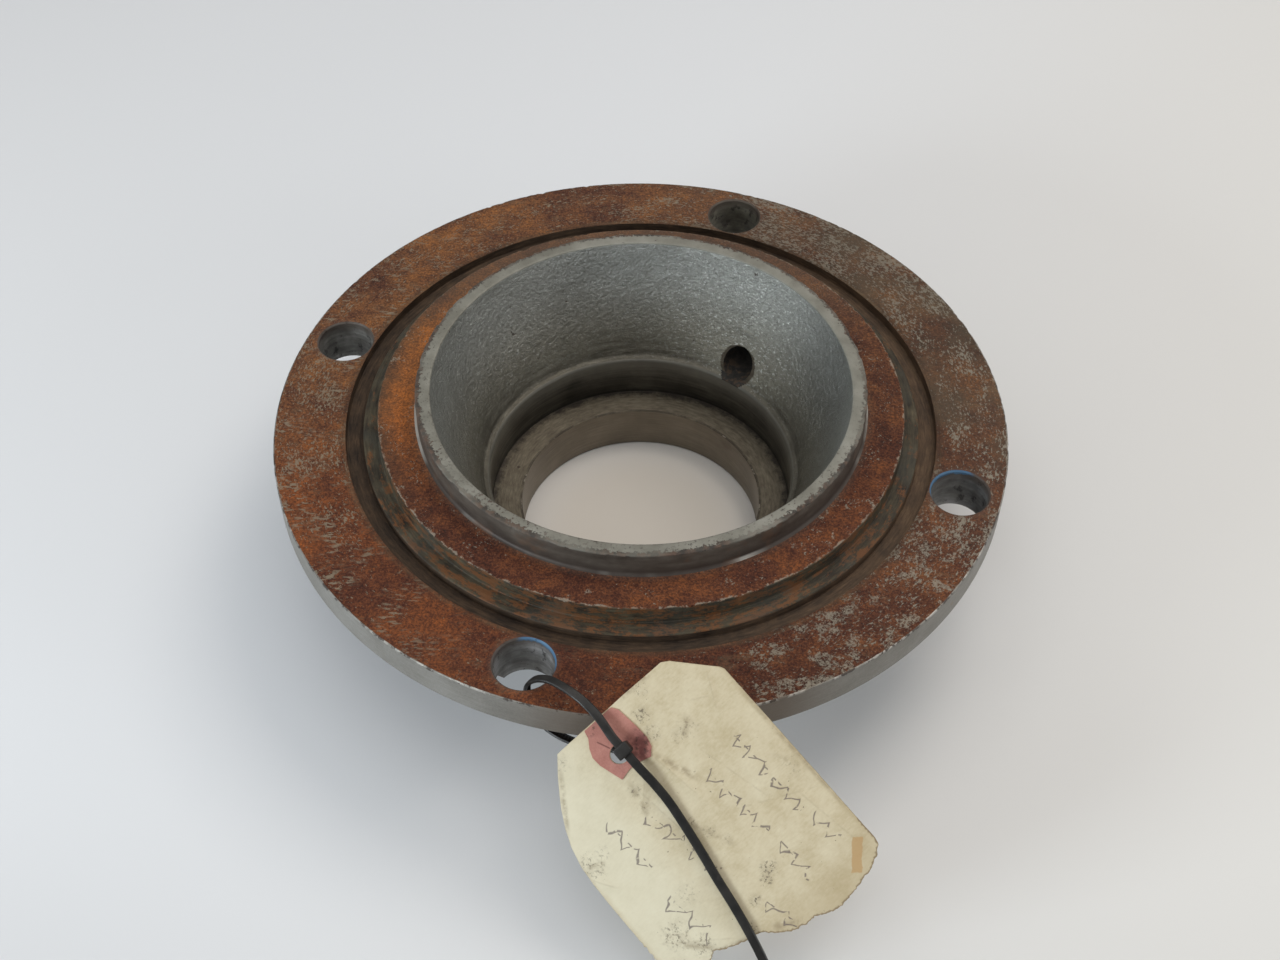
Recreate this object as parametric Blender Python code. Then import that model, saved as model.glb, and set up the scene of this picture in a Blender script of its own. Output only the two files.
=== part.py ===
"""Stuffing-box cover of a pump, with a torn shipping tag on a cable tie.

The cover is one machined casting: a round flange with four bolt holes, a gasket groove, a raised
spigot face and lip, a tapered seal chamber, a counterbore and a through bore. Two flush ports run
through the chamber wall. The tag's eyelet hangs on a closed cable tie that goes through one bolt
hole and round the rim.

Metres, +Z up. The origin is the centre of the foot that the cover stands on.
"""

import math

import bmesh
import bpy
from mathutils import Matrix, Vector

# Turned casting: radii and heights above the foot
FLANGE_RADIUS = 0.1143
FLANGE_THICKNESS = 0.0107
FACE_Z = 0.0551
FACE_INNER_RADIUS = 0.0921
GROOVE_INNER_RADIUS = 0.0867
GROOVE_DEPTH = 0.0032
SPIGOT_RADIUS = 0.0818
SPIGOT_Z = 0.0611
LIP_OUTER_RADIUS = 0.0695
LIP_INNER_RADIUS = 0.0650
LIP_Z = 0.0695
LIP_FILLET = 0.0012
CHAMBER_FLOOR_RADIUS = 0.0508
CHAMBER_FLOOR_Z = 0.0315
CHAMBER_HOLLOW = 0.0016
COUNTERBORE_RADIUS = 0.0487
LEDGE_Z = 0.0159
BORE_RADIUS = 0.0390
HUB_TOP_RADIUS = 0.0690
HUB_FOOT_RADIUS = 0.0585
HUB_FILLET = 0.0060
EDGE_CHAMFER = 0.0005
FOOT_CHAMFER = 0.0010
HUB_STRAIGHT = 0.0064
CHAMBER_STEPS = 6
HUB_FILLET_STEPS = 3
LIP_FILLET_STEPS = 2
TURN_SEGMENTS = 96
CUT_MARGIN = 0.003

# Bolt holes
BOLT_CIRCLE_RADIUS = 0.1016
BOLT_HOLE_RADIUS = 0.00875
BOLT_HOLE_MOUTH = 0.00045
BOLT_HOLE_COUNT = 4
FIRST_BOLT_ANGLE = math.radians(-18.5)
BOLT_HOLE_SEGMENTS = 32

# Pads behind the bolt holes: how far out from the axis each may reach at its foot, and how much
# further at the flange. The last one stops short of the cable tie.
PAD_RADIUS = 0.0130
PAD_DEPTH = 0.0048
PAD_ROOT = 0.0020
PAD_REACH = (0.1112, 0.1112, 0.1112, 0.0985)
PAD_SPREAD = 0.0024
PAD_SEGMENTS = 40

# Flush ports
PORT_RADIUS = 0.00555
PORT_MOUTH_RADIUS = 0.0068
PORT_MOUTH_DEPTH = 0.0012
PORT_Z = 0.0362
PORT_ANGLES = (math.radians(52.0), math.radians(232.0))
PORT_START = 0.0440
BOSS_RADIUS = 0.0110
BOSS_START = 0.0575
BOSS_END = 0.0760
BOSS_CHAMFER = 0.0012
PORT_SEGMENTS = 24

# Tag: flat sizes, and how the card lies
TAG_WIDTH = 0.0667
TAG_END_U = -0.0112
TAG_CLIP_LEFT = (0.0200, 0.0155)
TAG_CLIP_RIGHT = (0.0115, 0.0105)
TAG_TORN_EDGE = (
    (-0.0334, 0.0560),
    (-0.0130, 0.0580),
    (0.0000, 0.0640),
    (0.0140, 0.0684),
    (0.0260, 0.0668),
    (0.0334, 0.0622),
)
TAG_THICKNESS = 0.0005
TAG_ORIGIN = Vector((-0.0030, -0.1212, 0.0519))
TAG_HEADING = math.radians(-44.0)
TAG_PITCH = math.radians(23.2)
TAG_ROLL = math.radians(37.2)
TAG_CROWN = 0.0026
TAG_TWIST = 0.0012
TAG_SAG = 0.0003
CROWN_REACH = 0.030
SAG_REACH = 0.050
TAG_ROWS = 14
TAG_COLUMNS = 14

# Eyelet and its patches
EYELET_V = -0.0033
EYELET_RADIUS = 0.0026
PATCH_CENTRE = (-0.0022, -0.0030)
PATCH_RADIUS = 0.0086
PATCH_THICKNESS = 0.0003
PATCH_SIDES = 24
GLUE_GAP = 0.0003

# Cable tie
STRAP_WIDTH = 0.0025
STRAP_THICKNESS = 0.0011
STRAP_STEP = 0.0025
STRAP_TIP_LENGTH = 0.006
STRAP_TIP_SCALE = 0.45
STRAP_TURN = (0.34, 0.43)
CURVE_PARTS = 16
HEAD_CENTRE_UV = (0.0000, -0.0009)
HEAD_LIFT = 0.0031
HEAD_SIZE = (0.0036, 0.0046, 0.0036)
HEAD_BEVEL = 0.0005
HEAD_BEVEL_STEPS = 2
SLOT_CLEARANCE = 0.0003
LOOP_NORMAL = Vector((0.57, 0.82, 0.0))

# The strap's line: out of the head and down through the eyelet, under the rim and up the bolt
# hole, over the flange to the head, through it and down the card, and on to the surface
STRAP_ROOT_UVH = (
    (0.0000, -0.0026, 0.0010),
    (0.0000, -0.0027, -0.0012),
    (-0.0006, -0.0032, -0.0040),
)
STRAP_LOOP = (
    (-0.00740, -0.11640, 0.04320),
    (-0.01180, -0.11380, 0.04010),
    (-0.01670, -0.11160, 0.03850),
    (-0.02160, -0.10910, 0.03810),
    (-0.02600, -0.10600, 0.03840),
    (-0.02920, -0.10330, 0.04030),
    (-0.03080, -0.10180, 0.04400),
    (-0.03120, -0.10170, 0.04840),
    (-0.03110, -0.10230, 0.05260),
    (-0.03020, -0.10310, 0.05580),
    (-0.02790, -0.10370, 0.05830),
    (-0.02450, -0.10520, 0.05980),
    (-0.02080, -0.10760, 0.06010),
    (-0.01760, -0.10990, 0.05980),
    (-0.01450, -0.11250, 0.05920),
    (-0.01110, -0.11590, 0.05790),
)
STRAP_TAIL_UVH = (
    (-0.0048, -0.0009, 0.00315),
    (-0.0012, -0.0009, 0.00310),
    (0.0024, -0.0009, 0.00305),
    (0.0065, -0.0009, 0.00265),
    (0.0120, -0.0009, 0.00180),
    (0.0185, -0.0012, 0.00130),
    (0.0260, -0.0022, 0.00120),
    (0.0340, -0.0035, 0.00120),
    (0.0420, -0.0050, 0.00120),
    (0.0500, -0.0063, 0.00120),
    (0.0580, -0.0079, 0.00130),
)
STRAP_END = (
    (0.03320, -0.16750, 0.02030),
    (0.03710, -0.17420, 0.01480),
    (0.04130, -0.18130, 0.00900),
    (0.04560, -0.18860, 0.00380),
    (0.04870, -0.19390, 0.00150),
    (0.05160, -0.19890, 0.00090),
)

# Colours and finish
RUST = (0.155, 0.047, 0.025, 1.0)
MANILA = (0.610, 0.560, 0.380, 1.0)
PATCH_PINK = (0.380, 0.105, 0.100, 1.0)
BLACK_NYLON = (0.014, 0.014, 0.016, 1.0)


def clear_scene():
    for item in list(bpy.data.objects):
        bpy.data.objects.remove(item, do_unlink=True)


def make_material(name, colour, roughness, metallic):
    material = bpy.data.materials.new(name)
    material.use_nodes = True
    shader = material.node_tree.nodes["Principled BSDF"]
    shader.inputs["Base Color"].default_value = colour
    shader.inputs["Roughness"].default_value = roughness
    shader.inputs["Metallic"].default_value = metallic
    return material


def add_object(name, mesh_builder, material=None, cutter=False):
    """Turn a bmesh into a named object; a cutter stays out of the model."""
    bmesh.ops.recalc_face_normals(mesh_builder, faces=mesh_builder.faces)
    mesh = bpy.data.meshes.new(name)
    mesh_builder.to_mesh(mesh)
    mesh_builder.free()
    item = bpy.data.objects.new(name, mesh)
    bpy.context.scene.collection.objects.link(item)
    if material is not None:
        mesh.materials.append(material)
    if cutter:
        item.hide_render = True
        item.display_type = "WIRE"
    return item


def shade_round(item, angle_degrees=35.0):
    item.data.shade_smooth()
    item.data.set_sharp_from_angle(angle=math.radians(angle_degrees))


def add_boolean(item, other, operation):
    modifier = item.modifiers.new(f"{operation.lower()}_{other.name}", "BOOLEAN")
    modifier.object = other
    modifier.operation = operation
    modifier.solver = "EXACT"


def arc(centre, radius, start_degrees, end_degrees, steps):
    """Points on an arc in the radius-height plane."""
    points = []
    for index in range(steps + 1):
        angle = math.radians(start_degrees + (end_degrees - start_degrees) * index / steps)
        points.append((centre[0] + radius * math.cos(angle), centre[1] + radius * math.sin(angle)))
    return points


def turned(profile, segments):
    """A closed outline in the radius-height plane, turned about Z."""
    builder = bmesh.new()
    rings = []
    for index in range(segments):
        angle = 2.0 * math.pi * index / segments
        ring = [
            builder.verts.new((radius * math.cos(angle), radius * math.sin(angle), height))
            for radius, height in profile
        ]
        rings.append(ring)
    for index in range(segments):
        here = rings[index]
        ahead = rings[(index + 1) % segments]
        for point in range(len(profile)):
            following = (point + 1) % len(profile)
            builder.faces.new((here[point], ahead[point], ahead[following], here[following]))
    return builder


def solid_turned(profile, segments):
    """An open outline that starts and ends on the axis side, turned and capped flat."""
    builder = bmesh.new()
    rings = []
    for radius, height in profile:
        ring = []
        for index in range(segments):
            angle = 2.0 * math.pi * index / segments
            ring.append(builder.verts.new((radius * math.cos(angle), radius * math.sin(angle), height)))
        rings.append(ring)
    for lower, upper in zip(rings, rings[1:]):
        for index in range(segments):
            following = (index + 1) % segments
            builder.faces.new((lower[index], lower[following], upper[following], upper[index]))
    builder.faces.new(rings[0])
    builder.faces.new(rings[-1])
    return builder


def chamber_wall():
    """The tapered wall from the lip down to the counterbore, slightly hollowed."""
    points = []
    for index in range(CHAMBER_STEPS + 1):
        share = index / CHAMBER_STEPS
        radius = LIP_INNER_RADIUS + (CHAMBER_FLOOR_RADIUS - LIP_INNER_RADIUS) * share
        height = LIP_Z - EDGE_CHAMFER + (CHAMBER_FLOOR_Z - LIP_Z + EDGE_CHAMFER) * share
        points.append((radius + CHAMBER_HOLLOW * math.sin(math.pi * share), height))
    return points


def casting_profile():
    """The whole section, from the foot up the outside and back down the chamber."""
    underside = FACE_Z - FLANGE_THICKNESS
    fillet_centre = (HUB_TOP_RADIUS + HUB_FILLET, underside - HUB_FILLET)
    lip_centre = (LIP_OUTER_RADIUS + LIP_FILLET, SPIGOT_Z + LIP_FILLET)
    profile = [
        (BORE_RADIUS + FOOT_CHAMFER, 0.0),
        (HUB_FOOT_RADIUS - FOOT_CHAMFER, 0.0),
        (HUB_FOOT_RADIUS, FOOT_CHAMFER),
        (HUB_FOOT_RADIUS, HUB_STRAIGHT),
    ]
    profile += arc(fillet_centre, HUB_FILLET, 180.0, 90.0, HUB_FILLET_STEPS)
    profile += [
        (FLANGE_RADIUS - EDGE_CHAMFER, underside),
        (FLANGE_RADIUS, underside + EDGE_CHAMFER),
        (FLANGE_RADIUS, FACE_Z - EDGE_CHAMFER),
        (FLANGE_RADIUS - EDGE_CHAMFER, FACE_Z),
        (FACE_INNER_RADIUS, FACE_Z),
        (FACE_INNER_RADIUS, FACE_Z - GROOVE_DEPTH),
        (GROOVE_INNER_RADIUS, FACE_Z - GROOVE_DEPTH),
        (GROOVE_INNER_RADIUS, FACE_Z - EDGE_CHAMFER),
        (GROOVE_INNER_RADIUS - EDGE_CHAMFER, FACE_Z),
        (SPIGOT_RADIUS, FACE_Z),
        (SPIGOT_RADIUS, SPIGOT_Z - EDGE_CHAMFER),
        (SPIGOT_RADIUS - EDGE_CHAMFER, SPIGOT_Z),
    ]
    profile += arc(lip_centre, LIP_FILLET, 270.0, 180.0, LIP_FILLET_STEPS)
    profile += [
        (LIP_OUTER_RADIUS, LIP_Z - EDGE_CHAMFER),
        (LIP_OUTER_RADIUS - EDGE_CHAMFER, LIP_Z),
        (LIP_INNER_RADIUS + EDGE_CHAMFER, LIP_Z),
    ]
    profile += chamber_wall()
    profile += [
        (COUNTERBORE_RADIUS, CHAMBER_FLOOR_Z - 2.0 * EDGE_CHAMFER),
        (COUNTERBORE_RADIUS, LEDGE_Z),
        (BORE_RADIUS, LEDGE_Z),
        (BORE_RADIUS, FOOT_CHAMFER),
    ]
    return profile


def bolt_centre(index):
    angle = FIRST_BOLT_ANGLE + 2.0 * math.pi * index / BOLT_HOLE_COUNT
    return Vector((BOLT_CIRCLE_RADIUS * math.cos(angle), BOLT_CIRCLE_RADIUS * math.sin(angle), 0.0))


def bolt_pad(index):
    """A round cast pad under the flange, its outer side held inside the rim."""
    underside = FACE_Z - FLANGE_THICKNESS
    centre = bolt_centre(index)
    builder = bmesh.new()
    rings = []
    for height, spread in ((underside - PAD_DEPTH, 0.0), (underside, PAD_SPREAD), (underside + PAD_ROOT, PAD_SPREAD)):
        ring = []
        for step in range(PAD_SEGMENTS):
            turn = 2.0 * math.pi * step / PAD_SEGMENTS
            place = centre + Vector((math.cos(turn), math.sin(turn), 0.0)) * PAD_RADIUS
            place *= min(1.0, (PAD_REACH[index] + spread) / place.length)
            ring.append(builder.verts.new((place.x, place.y, height)))
        rings.append(ring)
    for lower, upper in zip(rings, rings[1:]):
        for step in range(PAD_SEGMENTS):
            following = (step + 1) % PAD_SEGMENTS
            builder.faces.new((lower[step], lower[following], upper[following], upper[step]))
    builder.faces.new(rings[0])
    builder.faces.new(rings[-1])
    return add_object(f"bolt_pad_{index}", builder, cutter=True)


def bolt_hole_cutter(index):
    """A drill with a small countersink at the flange face and at the pad."""
    back = FACE_Z - FLANGE_THICKNESS - PAD_DEPTH
    wide = BOLT_HOLE_RADIUS + BOLT_HOLE_MOUTH
    profile = [
        (wide, back - CUT_MARGIN),
        (wide, back),
        (BOLT_HOLE_RADIUS, back + BOLT_HOLE_MOUTH),
        (BOLT_HOLE_RADIUS, FACE_Z - BOLT_HOLE_MOUTH),
        (wide, FACE_Z),
        (wide, FACE_Z + CUT_MARGIN),
    ]
    cutter = add_object(f"bolt_drill_{index}", solid_turned(profile, BOLT_HOLE_SEGMENTS), cutter=True)
    cutter.location = bolt_centre(index)
    return cutter


def along_port(item, angle):
    """Lay a Z-axis tool along a port: pointing outwards, level, at the port's height."""
    item.rotation_euler = (0.0, math.pi / 2.0, angle)
    item.location = (0.0, 0.0, PORT_Z)


def port_boss(index, angle):
    profile = [
        (BOSS_RADIUS, BOSS_START),
        (BOSS_RADIUS, BOSS_END - BOSS_CHAMFER),
        (BOSS_RADIUS - BOSS_CHAMFER, BOSS_END),
    ]
    boss = add_object(f"port_boss_{index}", solid_turned(profile, PORT_SEGMENTS), cutter=True)
    along_port(boss, angle)
    return boss


def port_drill(index, angle):
    profile = [
        (PORT_RADIUS, PORT_START),
        (PORT_RADIUS, BOSS_END - PORT_MOUTH_DEPTH),
        (PORT_MOUTH_RADIUS, BOSS_END),
        (PORT_MOUTH_RADIUS, BOSS_END + CUT_MARGIN),
    ]
    drill = add_object(f"port_drill_{index}", solid_turned(profile, PORT_SEGMENTS), cutter=True)
    along_port(drill, angle)
    return drill


def make_casting():
    rust = make_material("rusted_cast_iron", RUST, 0.75, 0.35)
    casting = add_object("cover_casting", turned(casting_profile(), TURN_SEGMENTS), rust)
    shade_round(casting)
    for index, angle in enumerate(PORT_ANGLES):
        add_boolean(casting, port_boss(index, angle), "UNION")
    for index, angle in enumerate(PORT_ANGLES):
        add_boolean(casting, port_drill(index, angle), "DIFFERENCE")
    for index in range(BOLT_HOLE_COUNT):
        add_boolean(casting, bolt_pad(index), "UNION")
    for index in range(BOLT_HOLE_COUNT):
        add_boolean(casting, bolt_hole_cutter(index), "DIFFERENCE")


def tag_axes():
    """Unit vectors along the card, across it and out of its face."""
    ahead = Vector((math.cos(TAG_HEADING), math.sin(TAG_HEADING), 0.0))
    left = Vector((-math.sin(TAG_HEADING), math.cos(TAG_HEADING), 0.0))
    up = Vector((0.0, 0.0, 1.0))
    along = ahead * math.cos(TAG_PITCH) - up * math.sin(TAG_PITCH)
    raised = ahead * math.sin(TAG_PITCH) + up * math.cos(TAG_PITCH)
    across = left * math.cos(TAG_ROLL) + raised * math.sin(TAG_ROLL)
    outward = -left * math.sin(TAG_ROLL) + raised * math.cos(TAG_ROLL)
    return along, across, outward


def on_tag(u, v, height=0.0):
    """A point of the lying card from its flat place: u along, v across, height above its middle."""
    along, across, outward = tag_axes()
    bend = -TAG_CROWN * (v / CROWN_REACH) ** 2
    bend -= TAG_TWIST * (u / SAG_REACH) * (v / CROWN_REACH)
    bend -= TAG_SAG * (u / SAG_REACH) ** 2
    return TAG_ORIGIN + along * u + across * v + outward * (bend + height)


def clip_start(v):
    """Where the card starts at v: the end edge between its two clipped corners."""
    length, width = TAG_CLIP_LEFT if v < 0.0 else TAG_CLIP_RIGHT
    past = abs(v) - (TAG_WIDTH / 2.0 - width)
    return TAG_END_U + max(past, 0.0) * length / width


def torn_end(v):
    """Where the card ends at v, along the torn edge."""
    for (v_from, u_from), (v_to, u_to) in zip(TAG_TORN_EDGE, TAG_TORN_EDGE[1:]):
        if v <= v_to:
            share = (v - v_from) / (v_to - v_from)
            return u_from + (u_to - u_from) * share
    return TAG_TORN_EDGE[-1][1]


def column_places():
    """Places across the card, with one on each clipped corner."""
    places = [TAG_WIDTH * (index / TAG_COLUMNS - 0.5) for index in range(TAG_COLUMNS + 1)]
    corners = (TAG_CLIP_LEFT[1] - TAG_WIDTH / 2.0, TAG_WIDTH / 2.0 - TAG_CLIP_RIGHT[1])
    for corner in corners:
        nearest = min(range(1, TAG_COLUMNS), key=lambda index: abs(places[index] - corner))
        places[nearest] = corner
    return places


def join_layers(builder, lower, upper):
    """Close two matching grids of vertices into one thin solid."""
    rows = len(lower) - 1
    columns = len(lower[0]) - 1
    for row in range(rows):
        for column in range(columns):
            for grid in (lower, upper):
                builder.faces.new(
                    (
                        grid[row][column],
                        grid[row][column + 1],
                        grid[row + 1][column + 1],
                        grid[row + 1][column],
                    )
                )
    rim = [(0, column) for column in range(columns)]
    rim += [(row, columns) for row in range(rows)]
    rim += [(rows, column) for column in range(columns, 0, -1)]
    rim += [(row, 0) for row in range(rows, 0, -1)]
    for (row, column), (next_row, next_column) in zip(rim, rim[1:] + rim[:1]):
        builder.faces.new(
            (
                lower[row][column],
                lower[next_row][next_column],
                upper[next_row][next_column],
                upper[row][column],
            )
        )


def eyelet_cutter(name):
    cutter = add_object(
        name,
        solid_turned([(EYELET_RADIUS, -CUT_MARGIN), (EYELET_RADIUS, CUT_MARGIN)], PORT_SEGMENTS),
        cutter=True,
    )
    along, across, outward = tag_axes()
    turn = Matrix((along, across, outward)).transposed().to_4x4()
    cutter.matrix_world = Matrix.Translation(on_tag(0.0, EYELET_V)) @ turn
    return cutter


def make_tag_card(punch):
    builder = bmesh.new()
    layers = []
    for height in (-TAG_THICKNESS / 2.0, TAG_THICKNESS / 2.0):
        grid = []
        for row in range(TAG_ROWS + 1):
            share = row / TAG_ROWS
            line = []
            for v in column_places():
                start = clip_start(v)
                u = start + (torn_end(v) - start) * share
                line.append(builder.verts.new(on_tag(u, v, height)))
            grid.append(line)
        layers.append(grid)
    join_layers(builder, layers[0], layers[1])
    manila = make_material("manila_card", MANILA, 0.85, 0.0)
    card = add_object("tag_card", builder, manila)
    shade_round(card)
    add_boolean(card, punch, "DIFFERENCE")


def patch_outline():
    """A round patch cut off straight at the card's end edge."""
    points = []
    for index in range(PATCH_SIDES):
        angle = 2.0 * math.pi * index / PATCH_SIDES
        u = PATCH_CENTRE[0] + PATCH_RADIUS * math.cos(angle)
        v = PATCH_CENTRE[1] + PATCH_RADIUS * math.sin(angle)
        points.append((max(u, TAG_END_U + GLUE_GAP), v))
    return points


def make_patch(name, side, punch, material):
    """side is 1 for the face of the card and -1 for its back."""
    builder = bmesh.new()
    near = side * (TAG_THICKNESS / 2.0 + GLUE_GAP)
    far = side * (TAG_THICKNESS / 2.0 + GLUE_GAP + PATCH_THICKNESS)
    rings = []
    for height in (near, far):
        rings.append([builder.verts.new(on_tag(u, v, height)) for u, v in patch_outline()])
        centre = builder.verts.new(on_tag(PATCH_CENTRE[0], PATCH_CENTRE[1], height))
        for index in range(PATCH_SIDES):
            following = (index + 1) % PATCH_SIDES
            builder.faces.new((centre, rings[-1][index], rings[-1][following]))
    for index in range(PATCH_SIDES):
        following = (index + 1) % PATCH_SIDES
        builder.faces.new((rings[0][index], rings[0][following], rings[1][following], rings[1][index]))
    patch = add_object(name, builder, material)
    shade_round(patch)
    add_boolean(patch, punch, "DIFFERENCE")


def smooth_line(points, step):
    """A Catmull-Rom curve through the points, sampled evenly."""
    padded = [points[0] * 2.0 - points[1]] + list(points) + [points[-1] * 2.0 - points[-2]]
    fine = []
    for index in range(1, len(padded) - 2):
        before, here, ahead, after = padded[index - 1 : index + 3]
        for part in range(CURVE_PARTS):
            t = part / CURVE_PARTS
            fine.append(
                0.5
                * (
                    here * 2.0
                    + (ahead - before) * t
                    + (before * 2.0 - here * 5.0 + ahead * 4.0 - after) * t**2
                    + (here * 3.0 - before - ahead * 3.0 + after) * t**3
                )
            )
    fine.append(points[-1])
    length = sum((b - a).length for a, b in zip(fine, fine[1:]))
    count = max(2, round(length / step))
    even = [fine[0]]
    walked = 0.0
    for a, b in zip(fine, fine[1:]):
        span = (b - a).length
        while len(even) < count and walked + span >= length * len(even) / count:
            share = (length * len(even) / count - walked) / span
            even.append(a.lerp(b, share))
        walked += span
    even.append(fine[-1])
    return even, length


def strap_route():
    route = [on_tag(u, v, height) for u, v, height in STRAP_ROOT_UVH]
    route += [Vector(point) for point in STRAP_LOOP]
    route += [on_tag(u, v, height) for u, v, height in STRAP_TAIL_UVH]
    route += [Vector(point) for point in STRAP_END]
    return route


def make_strap(nylon):
    """A flat strap: its width stays square to the loop, then turns to lie flat on the card."""
    line, length = smooth_line(strap_route(), STRAP_STEP)
    across = tag_axes()[1]
    turn_start, turn_end = STRAP_TURN
    builder = bmesh.new()
    rings = []
    for index, point in enumerate(line):
        before = line[max(index - 1, 0)]
        after = line[min(index + 1, len(line) - 1)]
        tangent = (after - before).normalized()
        share = index / (len(line) - 1)
        blend = min(max((share - turn_start) / (turn_end - turn_start), 0.0), 1.0)
        wide = LOOP_NORMAL.normalized().lerp(across, blend)
        wide = (wide - tangent * wide.dot(tangent)).normalized()
        thick = tangent.cross(wide)
        left_over = (1.0 - share) * length
        taper = min(1.0, STRAP_TIP_SCALE + (1.0 - STRAP_TIP_SCALE) * left_over / STRAP_TIP_LENGTH)
        half_wide = wide * (STRAP_WIDTH / 2.0 * taper)
        half_thick = thick * (STRAP_THICKNESS / 2.0)
        corners = (
            half_wide + half_thick,
            half_thick - half_wide,
            -half_wide - half_thick,
            half_wide - half_thick,
        )
        rings.append([builder.verts.new(point + corner) for corner in corners])
    for here, ahead in zip(rings, rings[1:]):
        for corner in range(4):
            following = (corner + 1) % 4
            builder.faces.new((here[corner], here[following], ahead[following], ahead[corner]))
    builder.faces.new(rings[0])
    builder.faces.new(rings[-1])
    add_object("cable_tie_strap", builder, nylon)


def block(size):
    """A box centred on the origin."""
    builder = bmesh.new()
    bmesh.ops.create_cube(builder, size=1.0)
    bmesh.ops.scale(builder, vec=size, verts=builder.verts)
    return builder


def make_head(nylon):
    """The tie's head: a small block with a slot that the strap runs through."""
    along, across, outward = tag_axes()
    turn = Matrix((along, across, outward)).transposed().to_4x4()
    centre = on_tag(HEAD_CENTRE_UV[0], HEAD_CENTRE_UV[1], HEAD_LIFT)
    place = Matrix.Translation(centre) @ turn
    body = block(HEAD_SIZE)
    bmesh.ops.bevel(body, geom=body.edges, offset=HEAD_BEVEL, segments=HEAD_BEVEL_STEPS, affect="EDGES")
    head = add_object("cable_tie_head", body, nylon)
    head.matrix_world = place
    slot_size = (
        HEAD_SIZE[0] * 2.0,
        STRAP_WIDTH + 2.0 * SLOT_CLEARANCE,
        STRAP_THICKNESS + 2.0 * SLOT_CLEARANCE,
    )
    slot = add_object("head_slot", block(slot_size), cutter=True)
    slot.matrix_world = place
    shade_round(head)
    add_boolean(head, slot, "DIFFERENCE")


def build():
    clear_scene()
    make_casting()
    punch = eyelet_cutter("eyelet_punch")
    make_tag_card(punch)
    pink = make_material("fibre_patch", PATCH_PINK, 0.8, 0.0)
    make_patch("tag_patch_front", 1.0, punch, pink)
    make_patch("tag_patch_back", -1.0, punch, pink)
    nylon = make_material("black_nylon", BLACK_NYLON, 0.4, 0.0)
    make_strap(nylon)
    make_head(nylon)


build()
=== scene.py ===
"""Looks of the stuffing-box cover with its shipping tag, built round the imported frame.

The casting is one finely turned mesh with drilled holes, chipped edges and an as-cast chamber. The
tag is a creased card with two patches, and its cable tie is a ridged strap with a head. Metres, +Z up.
"""

import math

import bmesh
import bpy
from mathutils import Matrix, Vector, noise
from mathutils.geometry import delaunay_2d_cdt


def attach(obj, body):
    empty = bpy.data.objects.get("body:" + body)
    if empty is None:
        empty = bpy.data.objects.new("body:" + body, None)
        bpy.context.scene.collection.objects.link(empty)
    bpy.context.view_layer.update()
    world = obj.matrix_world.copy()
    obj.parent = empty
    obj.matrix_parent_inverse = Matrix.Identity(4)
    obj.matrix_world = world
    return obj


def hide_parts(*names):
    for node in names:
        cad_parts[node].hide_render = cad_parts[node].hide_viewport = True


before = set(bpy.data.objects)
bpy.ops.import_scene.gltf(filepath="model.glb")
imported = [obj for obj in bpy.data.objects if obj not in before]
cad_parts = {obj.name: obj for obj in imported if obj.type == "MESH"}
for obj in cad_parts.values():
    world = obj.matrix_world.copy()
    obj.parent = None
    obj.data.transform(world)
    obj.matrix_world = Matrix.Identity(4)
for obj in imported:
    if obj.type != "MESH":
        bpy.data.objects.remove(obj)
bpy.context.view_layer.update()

# Camera
LENS_MM = 49.69
SENSOR_MM = 36
CAMERA_PLACE = (-0.00023, -0.38483, 0.4545)
CAMERA_PITCH = math.radians(48.21)
CAMERA_ROLL = 0.00539

# Casting: radii and heights above the foot, as in the CAD
FLANGE_RADIUS = 0.1143
FACE_Z = 0.0551
UNDERSIDE_Z = 0.0444
FACE_INNER_RADIUS = 0.0921
GROOVE_INNER_RADIUS = 0.0867
GROOVE_FLOOR_Z = 0.0519
SPIGOT_RADIUS = 0.0818
SPIGOT_Z = 0.0611
LIP_OUTER_RADIUS = 0.0695
LIP_INNER_RADIUS = 0.065
LIP_Z = 0.0695
LIP_FILLET = 0.0012
CHAMBER_FLOOR_RADIUS = 0.0508
CHAMBER_FLOOR_Z = 0.0315
CHAMBER_HOLLOW = 0.0016
COUNTERBORE_RADIUS = 0.0487
LEDGE_Z = 0.0159
BORE_RADIUS = 0.039
HUB_TOP_RADIUS = 0.069
HUB_FOOT_RADIUS = 0.0585
HUB_STRAIGHT = 0.0064
HUB_FILLET = 0.006
EDGE = 0.0005
FOOT_CHAMFER = 0.001
TURN_SEGMENTS = 720
FACE_RINGS = (0.0009, 0.0018, 0.0035)
SPIGOT_RINGS = (0.0014, 0.0028)
CORNER_STEPS = 3

BOLT_CIRCLE = 0.1016
BOLT_HOLE_RADIUS = 0.00875
BOLT_HOLE_MOUTH = 0.00045
BOLT_ANGLES = tuple(math.radians(-18.5 + 90 * index) for index in range(4))
PAD_RADIUS = 0.013
PAD_DEPTH = 0.0048
PAD_ROOT = 0.002
PAD_REACH = (0.1112, 0.1112, 0.1112, 0.0985)
PAD_SPREAD = 0.0024
PAD_EDGE = 0.0004
PORT_RADIUS = 0.00555
PORT_MOUTH_RADIUS = 0.0068
PORT_MOUTH_DEPTH = 0.0012
PORT_Z = 0.0362
PORT_ANGLES = (math.radians(52), math.radians(232))
PORT_START = 0.044
PORT_WALL_RADIUS = 0.0526
BOSS_RADIUS = 0.011
BOSS_START = 0.0575
BOSS_END = 0.076
BOSS_CHAMFER = 0.0012
DRILL_SEGMENTS = 72
CUT_MARGIN = 0.003

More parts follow.
